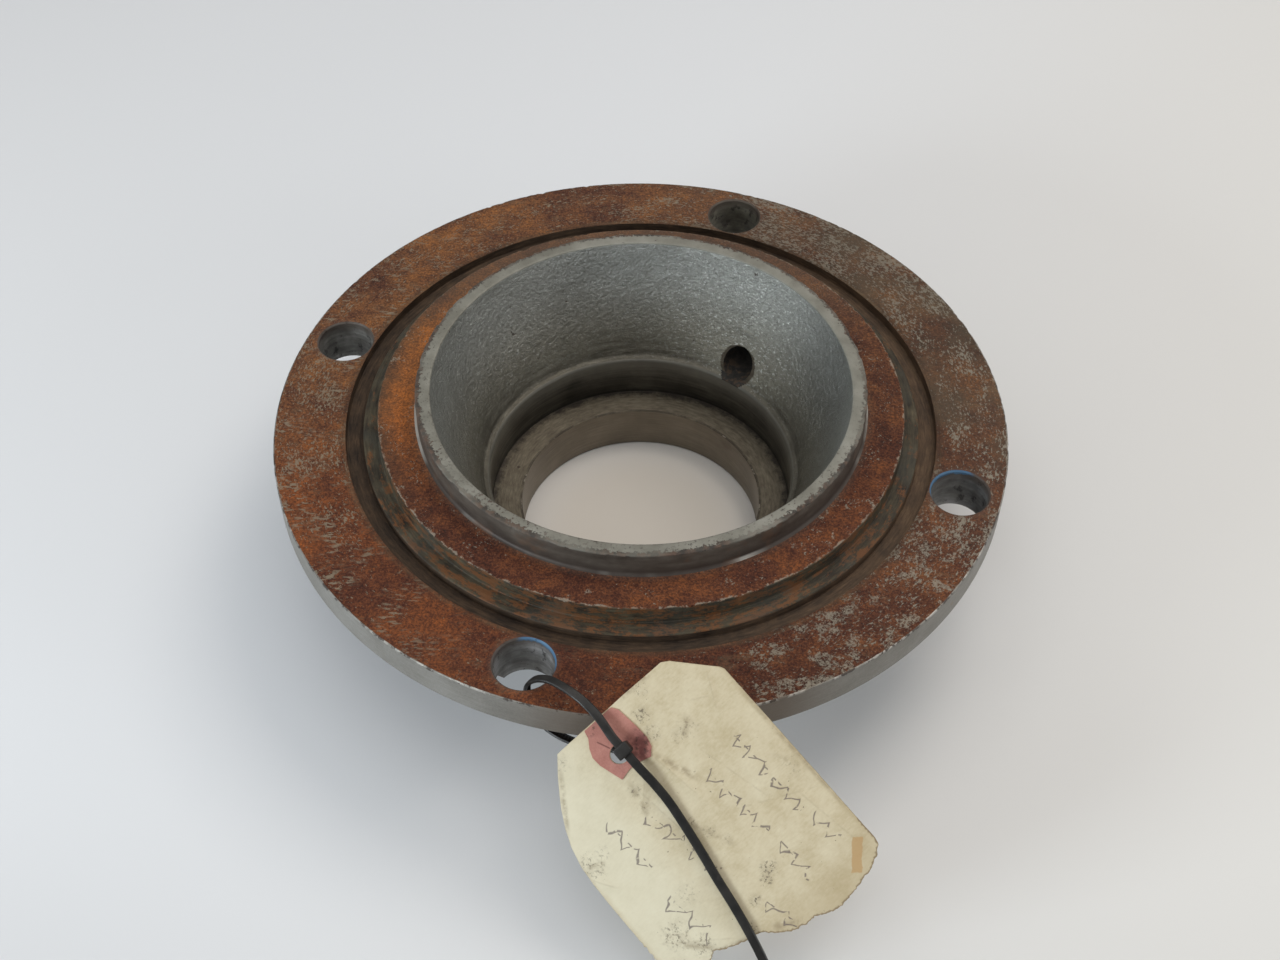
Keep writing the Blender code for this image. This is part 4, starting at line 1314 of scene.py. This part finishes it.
# Dirt in millimetres: centre, reach, strength
CARD_DIRT = (
    ((48.6, 7.4), 3.6, 0.9), ((50.6, 4.7), 2.6, 1), ((52.7, -1), 2.4, 1), ((57.7, -6.6), 2.6, 0.9),
    ((26.5, -0.7), 2.6, 0.8), ((31, 1.6), 3, 0.55), ((36, 3.6), 2.4, 0.5), ((10.2, -6.6), 2.8, 0.75),
    ((15, -7.4), 2.6, 0.6), ((46.2, -24.1), 6, 0.8), ((53, -20), 5, 0.7), ((40, -14), 5, 0.35),
    ((55, -30), 6, 0.7), ((-4, 8.4), 3.6, 0.85), ((1.7, 7.4), 3.4, 0.7), ((6.7, 15.9), 4.6, 0.45),
    ((6.9, 12.6), 3.4, 0.5), ((-9.6, 12.8), 3.4, 0.6), ((18, -30), 6, 0.65), ((17, -25), 3.2, 0.45),
    ((-9, -18), 4, 0.5), ((33, 30), 5, 0.3),
)
# Brown smears in millimetres, the first of them painted shade along the fold from the eyelet: start, end,
# half width, strength
CARD_SMEARS_AND_FOLD_SHADE = (
    ((4.5, 3.4), (21, 9.6), 1.5, 0.62), ((6, -6), (20, -9), 1.3, 0.45), ((9, 12), (3.5, 18.5), 1.6, 0.4),
    ((24, -2.2), (40, 5.4), 1.2, 0.4), ((-11, 4), (-11, 20), 1.5, 0.6), ((-9.6, -17.5), (9, -31), 1.3, 0.6),
    ((17, -32), (19.5, -25.5), 1, 0.6), ((1, 32.6), (58, 33), 1.1, 0.45), ((26, 27), (34, 31.5), 1.2, 0.35),
    ((47, -27), (56, -17), 1.4, 0.5), ((60, -4), (66.5, 7.5), 1.8, 0.55),
    ((56, -20.5), (59.5, -8), 1.4, 0.55),
)
# Pencil scribbles in millimetres: start, end, half height, wavelength
CARD_SCRIBBLES = (
    ((16.5, 23), (30, 23.6), 2, 5.1), ((31.5, 23.4), (43, 24.2), 1.7, 4.3),
    ((45.6, 25), (55, 25.8), 1.8, 4.9), ((19, 11.4), (31, 12.2), 2.1, 5.3),
    ((32, 12.4), (41.5, 13.2), 1.8, 4.5), ((45.4, 13.8), (58, 14.3), 1.8, 5.1),
    ((17, -8.6), (29, -6.4), 2.6, 6.1), ((31, -6.2), (41, -3.2), 2.4, 5.6), ((55, 0.2), (65, 2.8), 2.1, 5.7),
    ((11.5, -19.2), (28.5, -17.4), 2.1, 5.6), ((37.5, -20), (53, -16.6), 2.8, 7),
)
SCRIBBLE_HALF_WIDTH = 0.00019


def scribble(s, u, v, row):
    """Meaningless up-and-down pencil strokes along one short row."""
    start, end, half_height, wavelength = row
    length = math.hypot(end[0] - start[0], end[1] - start[1])
    cosine = (end[0] - start[0]) / length
    sine = (end[1] - start[1]) / length
    from_u = u - start[0] / 1000
    from_v = v - start[1] / 1000
    along = from_u * cosine + from_v * sine
    across = from_v * cosine - from_u * sine
    lean = along + across * -0.25
    phase = lean * (2000 / wavelength) + s.noise(150, 1) * 2.4
    zigzag = s.math("PINGPONG", phase, 1) * 2 - 1
    reach = s.scaled(s.noise(330, 1), half_height / 2500, half_height / 770)
    off = abs(across - zigzag * reach)
    steepness = math.sqrt(1 + (4 * half_height / wavelength) ** 2)
    line = s.step(off, SCRIBBLE_HALF_WIDTH * 1.5 * steepness, SCRIBBLE_HALF_WIDTH * 0.5 * steepness)
    line = line * s.step(s.noise(450, 1), 0.38, 0.43)
    bar_off = abs(across - reach * 0.35)
    bar = s.step(bar_off, SCRIBBLE_HALF_WIDTH * 1.5, SCRIBBLE_HALF_WIDTH * 0.5)
    bar = bar * s.step(s.noise(520, 1, shift=(0.3, 0, 0)), 0.56, 0.6)
    window = s.step(along, 0, 0.0002) * s.step(along, length / 1000, length / 1000 - 0.0002)
    return s.most(line, bar) * window


def off_line(u, v, middle, heading):
    """How far along and across a flat line through a middle place in millimetres, unsigned."""
    from_u = u - middle[0] / 1000
    from_v = v - middle[1] / 1000
    cosine = math.cos(heading)
    sine = math.sin(heading)
    along = abs(from_u * cosine + from_v * sine)
    across = abs(from_v * cosine - from_u * sine)
    return along, across


def off_stroke(u, v, start, end):
    """A flat line's length in millimetres, and how far a place is along and across from its middle."""
    middle = ((start[0] + end[0]) / 2, (start[1] + end[1]) / 2)
    heading = math.atan2(end[1] - start[1], end[0] - start[0])
    return math.dist(start, end), *off_line(u, v, middle, heading)


# The strip whose face has peeled off: middle in millimetres, heading, half width and half length
PEELED_STRIP = ((61.3, 27), math.radians(-43), 0.0014, 0.0046)


def card_material():
    s = Shading("card")
    u, v, _ = flat_place(s)
    cloud = s.noise(75, 5, 0.68)
    fibre = s.noise(1500, 3, 0.6, stretch=(1, 0.35, 1))
    s.colour = s.ramp(
        cloud * 0.75 + fibre * 0.25, (0.36, (0.475, 0.4, 0.252)), (0.5, (0.565, 0.49, 0.335)),
        (0.66, (0.635, 0.568, 0.408)),
    )
    # Painted light: the card's west half made lighter, where it faces the lamps.
    west = s.step(v, -0.004, -0.02)
    s.coat(west * 0.55, (0.68, 0.645, 0.5))
    edge = s.step(abs(v) + s.noise(300, 4, 0.6) * 0.0022, 0.0325, 0.0348)
    tip = s.step(u + s.noise(240, 4, 0.6) * 0.01, 0.058, 0.074)
    brown = s.most(edge, tip)
    s.coat(brown * 0.38, (0.36, 0.27, 0.14))
    worn = s.out("ShaderNodeAttribute", "Fac", attribute_name="worn")
    frayed = s.step(worn + s.noise(700, 4, 0.7) * 0.7, 0.62, 1.1)
    s.coat(frayed * 0.75, (0.17, 0.115, 0.06))
    # Brown smears; the first is painted shade of the fold beside the eyelet.
    for start, end, half_width, strength in CARD_SMEARS_AND_FOLD_SHADE:
        length, along, across = off_stroke(u, v, start, end)
        half_length = length / 2000
        smear = s.step(along, half_length, half_length * 0.4) * s.step(across, half_width / 1000, 0)
        smear = smear * s.step(s.noise(330, 4, 0.65), 0.34, 0.6)
        s.coat(smear * strength, (0.235, 0.178, 0.105))
    speckle = s.noise(900, 5, 0.75)
    dirt = None
    for centre, reach, strength in CARD_DIRT:
        mask = spot(s, centre, reach, strength)
        dirt = mask if dirt is None else s.most(dirt, mask)
    smudged = dirt * s.step(s.noise(260, 4, 0.65), 0.4, 0.62)
    s.coat(smudged * 0.42, (0.29, 0.24, 0.16))
    grime = dirt * s.step(speckle + dirt * 0.06, 0.565, 0.625)
    s.coat(grime * 0.85, (0.085, 0.065, 0.045))
    dots = s.step(s.noise(700, 2, 0.5), 0.735, 0.765)
    s.coat(dots * 0.7, (0.12, 0.095, 0.065))
    # Painted shade: a darker line along each crease.
    for start, end, *_ in TAG_CREASES:
        length, along, across = off_stroke(u, v, start, end)
        line = s.step(along, length / 2000, length / 3200) * s.step(across, 0.00045, 0)
        line = line * s.step(s.noise(420, 3, 0.6), 0.36, 0.56)
        s.coat(line * 0.24, (0.33, 0.275, 0.18))
    pencil = None
    for row in CARD_SCRIBBLES:
        mask = scribble(s, u, v, row)
        pencil = mask if pencil is None else s.most(pencil, mask)
    pencil = pencil * s.scaled(s.noise(1300, 2), 0.55, 1)
    s.coat(pencil * 0.9, (0.085, 0.062, 0.07))
    strip_along, strip_across = off_line(u, v, *PEELED_STRIP[:2])
    ragged = s.noise(420, 3, 0.6) * 0.0012
    peeled = s.step(strip_across + ragged, PEELED_STRIP[2] + 0.0007, PEELED_STRIP[2] + 0.0004) * s.step(
        strip_along + ragged, PEELED_STRIP[3] + 0.0008, PEELED_STRIP[3] + 0.0004,
    )
    s.coat(peeled * 0.8, (0.45, 0.285, 0.125))
    height = fibre * 0.6 + s.noise(420, 3) * 0.8
    return s.finish(s.scaled(cloud, 0.62, 0.82), height, 0.00016, 0.7, specular_ior_level=0.35)


def patch_material(name):
    s = Shading(name)
    u, v, _ = flat_place(s)
    cloud = s.noise(150, 4, 0.6)
    fibre = s.noise(1700, 3, 0.6)
    s.colour = s.ramp(
        cloud * 0.7 + fibre * 0.3, (0.36, (0.35, 0.142, 0.112)), (0.52, (0.425, 0.188, 0.15)),
        (0.68, (0.505, 0.242, 0.196)),
    )
    # Painted shade: the patch darker round the dent under the tie's head.
    dark = spot(s, (2.2, 2.6), 6.4)
    dark = dark * s.step(s.noise(300, 4, 0.6), 0.32, 0.52)
    s.coat(dark * 0.8, (0.12, 0.034, 0.034))
    tear_along, tear_across = off_line(u, v, (-4.6, -4.9), math.radians(205))
    tear = s.step(tear_along, 0.0022, 0.0018) * s.step(tear_across, 0.0003, 8e-05)
    s.coat(tear * 0.75, (0.11, 0.035, 0.03))
    dirty = spot(s, (1.5, 3.5), 5.5) * s.step(s.noise(520, 4, 0.7), 0.5, 0.6)
    corner = spot(s, (-10.5, -5), 3) * s.step(s.noise(620, 4, 0.7), 0.5, 0.6)
    s.coat(s.most(dirty, corner) * 0.75, (0.05, 0.028, 0.022))
    ridge = s.step(s.noise(320, 3, 0.6), 0.6, 0.75)
    s.coat(ridge * 0.25, (0.56, 0.27, 0.235))
    return s.finish(s.scaled(cloud, 0.66, 0.85), fibre + cloud, 0.00012, 0.7, specular_ior_level=0.35)


def make_tag():
    outline = finer_outline(TAG_OUTLINE, 0.5, torn_push)
    wear = [TORN_WEAR if u > EDGE_WEAR_U else EDGE_WEAR for u, _ in outline]
    card = thin_sheet("tag", outline, eyelet_ring(), CARD_SPACING_MM, card_surface(-1), card_surface(1), wear)
    finish_piece(card, card_material(), 40)
    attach(card, "tag_and_tie")
    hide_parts("tag_card")
    outline = finer_outline(PATCH_OUTLINE, 0.4)
    for name, node, side in (("patch_front", "tag_patch_front", 1), ("patch_back", "tag_patch_back", -1)):
        surfaces = (patch_surface(side, 0), patch_surface(side, 1))
        patch = thin_sheet(name, outline, eyelet_ring(1.03), PATCH_SPACING_MM, *surfaces[::int(side)])
        finish_piece(patch, patch_material(name), 40)
        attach(patch, "tag_and_tie")
        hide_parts(node)
    return card


# ---------------------------------------------------------------- cable tie


def smooth_line(points, step):
    """A Catmull-Rom curve through the points, sampled evenly."""
    padded = [points[0] * 2 - points[1]] + list(points) + [points[-1] * 2 - points[-2]]
    fine = []
    for index in range(1, len(padded) - 2):
        before, here, ahead, after = padded[index - 1:index + 3]
        for part in range(CURVE_PARTS):
            t = part / CURVE_PARTS
            fine.append(
                0.5 * (
                    here * 2
                    + (ahead - before) * t
                    + (before * 2 - here * 5 + ahead * 4 - after) * t ** 2
                    + (here * 3 - before - ahead * 3 + after) * t ** 3
                )
            )
    fine.append(points[-1])
    length = sum((b - a).length for a, b in zip(fine, fine[1:]))
    count = max(2, round(length / step))
    even = [fine[0]]
    walked = 0
    for a, b in zip(fine, fine[1:]):
        span = (b - a).length
        while len(even) < count and walked + span >= length * len(even) / count:
            even.append(a.lerp(b, (length * len(even) / count - walked) / span))
        walked += span
    even.append(fine[-1])
    return even, length


def strap_route():
    route = [on_tag(u, v, height) for u, v, height in STRAP_ROOT_UVH]
    route += [Vector(point) for point in STRAP_LOOP]
    route += [on_tag(u, v, height) for u, v, height in STRAP_TAIL_UVH]
    route += [Vector(point) for point in STRAP_END]
    return route


def strap_section(tooth):
    """Half-width and half-thickness shares round the strap: rounded edges, and a toothed channel."""
    channel = 0.62 - 0.3 * tooth
    return (
        (1, 0.25), (0.97, 0.55), (0.8, 0.9), (0.55, 1), (0, 1), (-0.55, 1), (-0.8, 0.9), (-0.97, 0.55),
        (-1, 0.25), (-1, -0.45), (-0.84, -1), (-0.6, -1), (-0.56, -channel), (0.56, -channel), (0.6, -1),
        (0.84, -1), (1, -0.45),
    )


def nylon_material(name, shine):
    s = Shading(name)
    cloud = s.noise(160, 4, 0.6)
    fine = s.noise(1500, 3, 0.6)
    s.colour = s.ramp(cloud, (0.36, (0.01, 0.0095, 0.009)), (0.66, (0.024, 0.022, 0.02)))
    dust = s.step(s.noise(420, 4, 0.7), 0.58, 0.72)
    s.coat(dust * 0.2, (0.07, 0.062, 0.052))
    rough = s.scaled(fine, shine, shine + 0.14) + dust * 0.2
    return s.finish(rough, fine + cloud, 8e-05, 0.4, specular_ior_level=0.3)


def make_strap():
    line, length = smooth_line(strap_route(), STRAP_STEP)
    turn_start, turn_end = STRAP_TURN
    builder = bmesh.new()
    rings = []
    for index, point in enumerate(line):
        before = line[max(index - 1, 0)]
        after = line[min(index + 1, len(line) - 1)]
        tangent = (after - before).normalized()
        share = index / (len(line) - 1)
        blend = min(max((share - turn_start) / (turn_end - turn_start), 0), 1)
        wide = LOOP_NORMAL.normalized().lerp(TAG_ACROSS, blend)
        wide = (wide - tangent * wide.dot(tangent)).normalized()
        thick = tangent.cross(wide)
        left_over = (1 - share) * length
        taper = min(1, STRAP_TIP_SCALE + (1 - STRAP_TIP_SCALE) * left_over / STRAP_TIP_LENGTH)
        tooth = 1 if index % 2 and share > 0.06 else 0
        ring = []
        for across, through in strap_section(tooth):
            offset = wide * (across * STRAP_WIDTH / 2 * taper) + thick * (through * STRAP_THICKNESS / 2)
            ring.append(builder.verts.new(point + offset))
        rings.append(ring)
    skin(builder, rings)
    strap = link_mesh("strap", builder)
    material = nylon_material("strap_nylon", 0.26)
    finish_piece(strap, material, 28)
    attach(strap, "tag_and_tie")
    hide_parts("cable_tie_strap")
    return (strap, line, length)


def make_head():
    """The tie's head: a softened block with a slot."""
    turn = Matrix((TAG_ALONG, TAG_ACROSS, TAG_OUTWARD)).transposed().to_4x4()
    place = Matrix.Translation(on_tag(HEAD_CENTRE_UV[0], HEAD_CENTRE_UV[1], HEAD_LIFT)) @ turn
    body = bmesh.new()
    bmesh.ops.create_cube(body, size=1)
    bmesh.ops.scale(body, vec=HEAD_SIZE, verts=body.verts)
    for vertex in body.verts:
        if vertex.co.z < 0:
            vertex.co.x *= 0.86
            vertex.co.y *= 0.9
    bmesh.ops.bevel(body, geom=body.edges, offset=0.00055, segments=4, profile=0.6, affect="EDGES")
    head = link_mesh("tie_head", body)
    slot = bmesh.new()
    bmesh.ops.create_cube(slot, size=1)
    size = (HEAD_SIZE[0] * 2, STRAP_WIDTH + 2 * SLOT_CLEARANCE, STRAP_THICKNESS + 2 * SLOT_CLEARANCE)
    bmesh.ops.scale(slot, vec=size, verts=slot.verts)
    cut(head, link_mesh("slot_tool", slot), "DIFFERENCE")
    head.data.transform(place)
    finish_piece(head, nylon_material("head_nylon", 0.3))
    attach(head, "tag_and_tie")
    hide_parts("cable_tie_head")
    return head


# ---------------------------------------------------------------- floor


def make_floor():
    builder = bmesh.new()
    corners = [builder.verts.new((x, y, 0)) for x, y in ((-3, -3), (3, -3), (3, 3), (-3, 3))]
    builder.faces.new(corners)
    floor = link_mesh("floor", builder)
    s = Shading("floor")
    tint = s.noise(1.6, 2, 0.5)
    s.colour = s.ramp(tint, (0.35, (0.7, 0.72, 0.748)), (0.65, (0.722, 0.74, 0.765)))
    # Painted warm light: the floor warmer towards the right.
    painted_warm_light = s.step(s.x - s.y * 0.4, -0.12, 0.26)
    s.coat(painted_warm_light, (1, 0.97, 0.915), "MULTIPLY")
    # Painted shade: the floor darker towards the front, and more so at the front left.
    s.coat(s.step(s.y, -0.1, -0.32), (0.85, 0.85, 0.85), "MULTIPLY")
    s.coat(s.step(s.y, -0.06, -0.2) * s.step(s.x, -0.04, -0.2), (0.9, 0.89, 0.88), "MULTIPLY")
    # Painted shade and warm bounce light on the floor under the casting.
    under = s.step(s.radius(), 0.06, 0.02)
    s.coat(under, (0.95, 0.87, 0.77), "MULTIPLY")
    s.coat(s.step(s.cells(11), 0.0075, 0.005) * 0.8, (0.12, 0.08, 0.06))
    s.feed(s.shader.inputs["Base Color"], s.colour)
    s.feed(s.shader.inputs["Roughness"], 0.85)
    floor.data.materials.append(s.material)


make_camera()
make_light()
make_floor()
strap, strap_line, strap_length = make_strap()
head = make_head()
tag = make_tag()
make_casting()
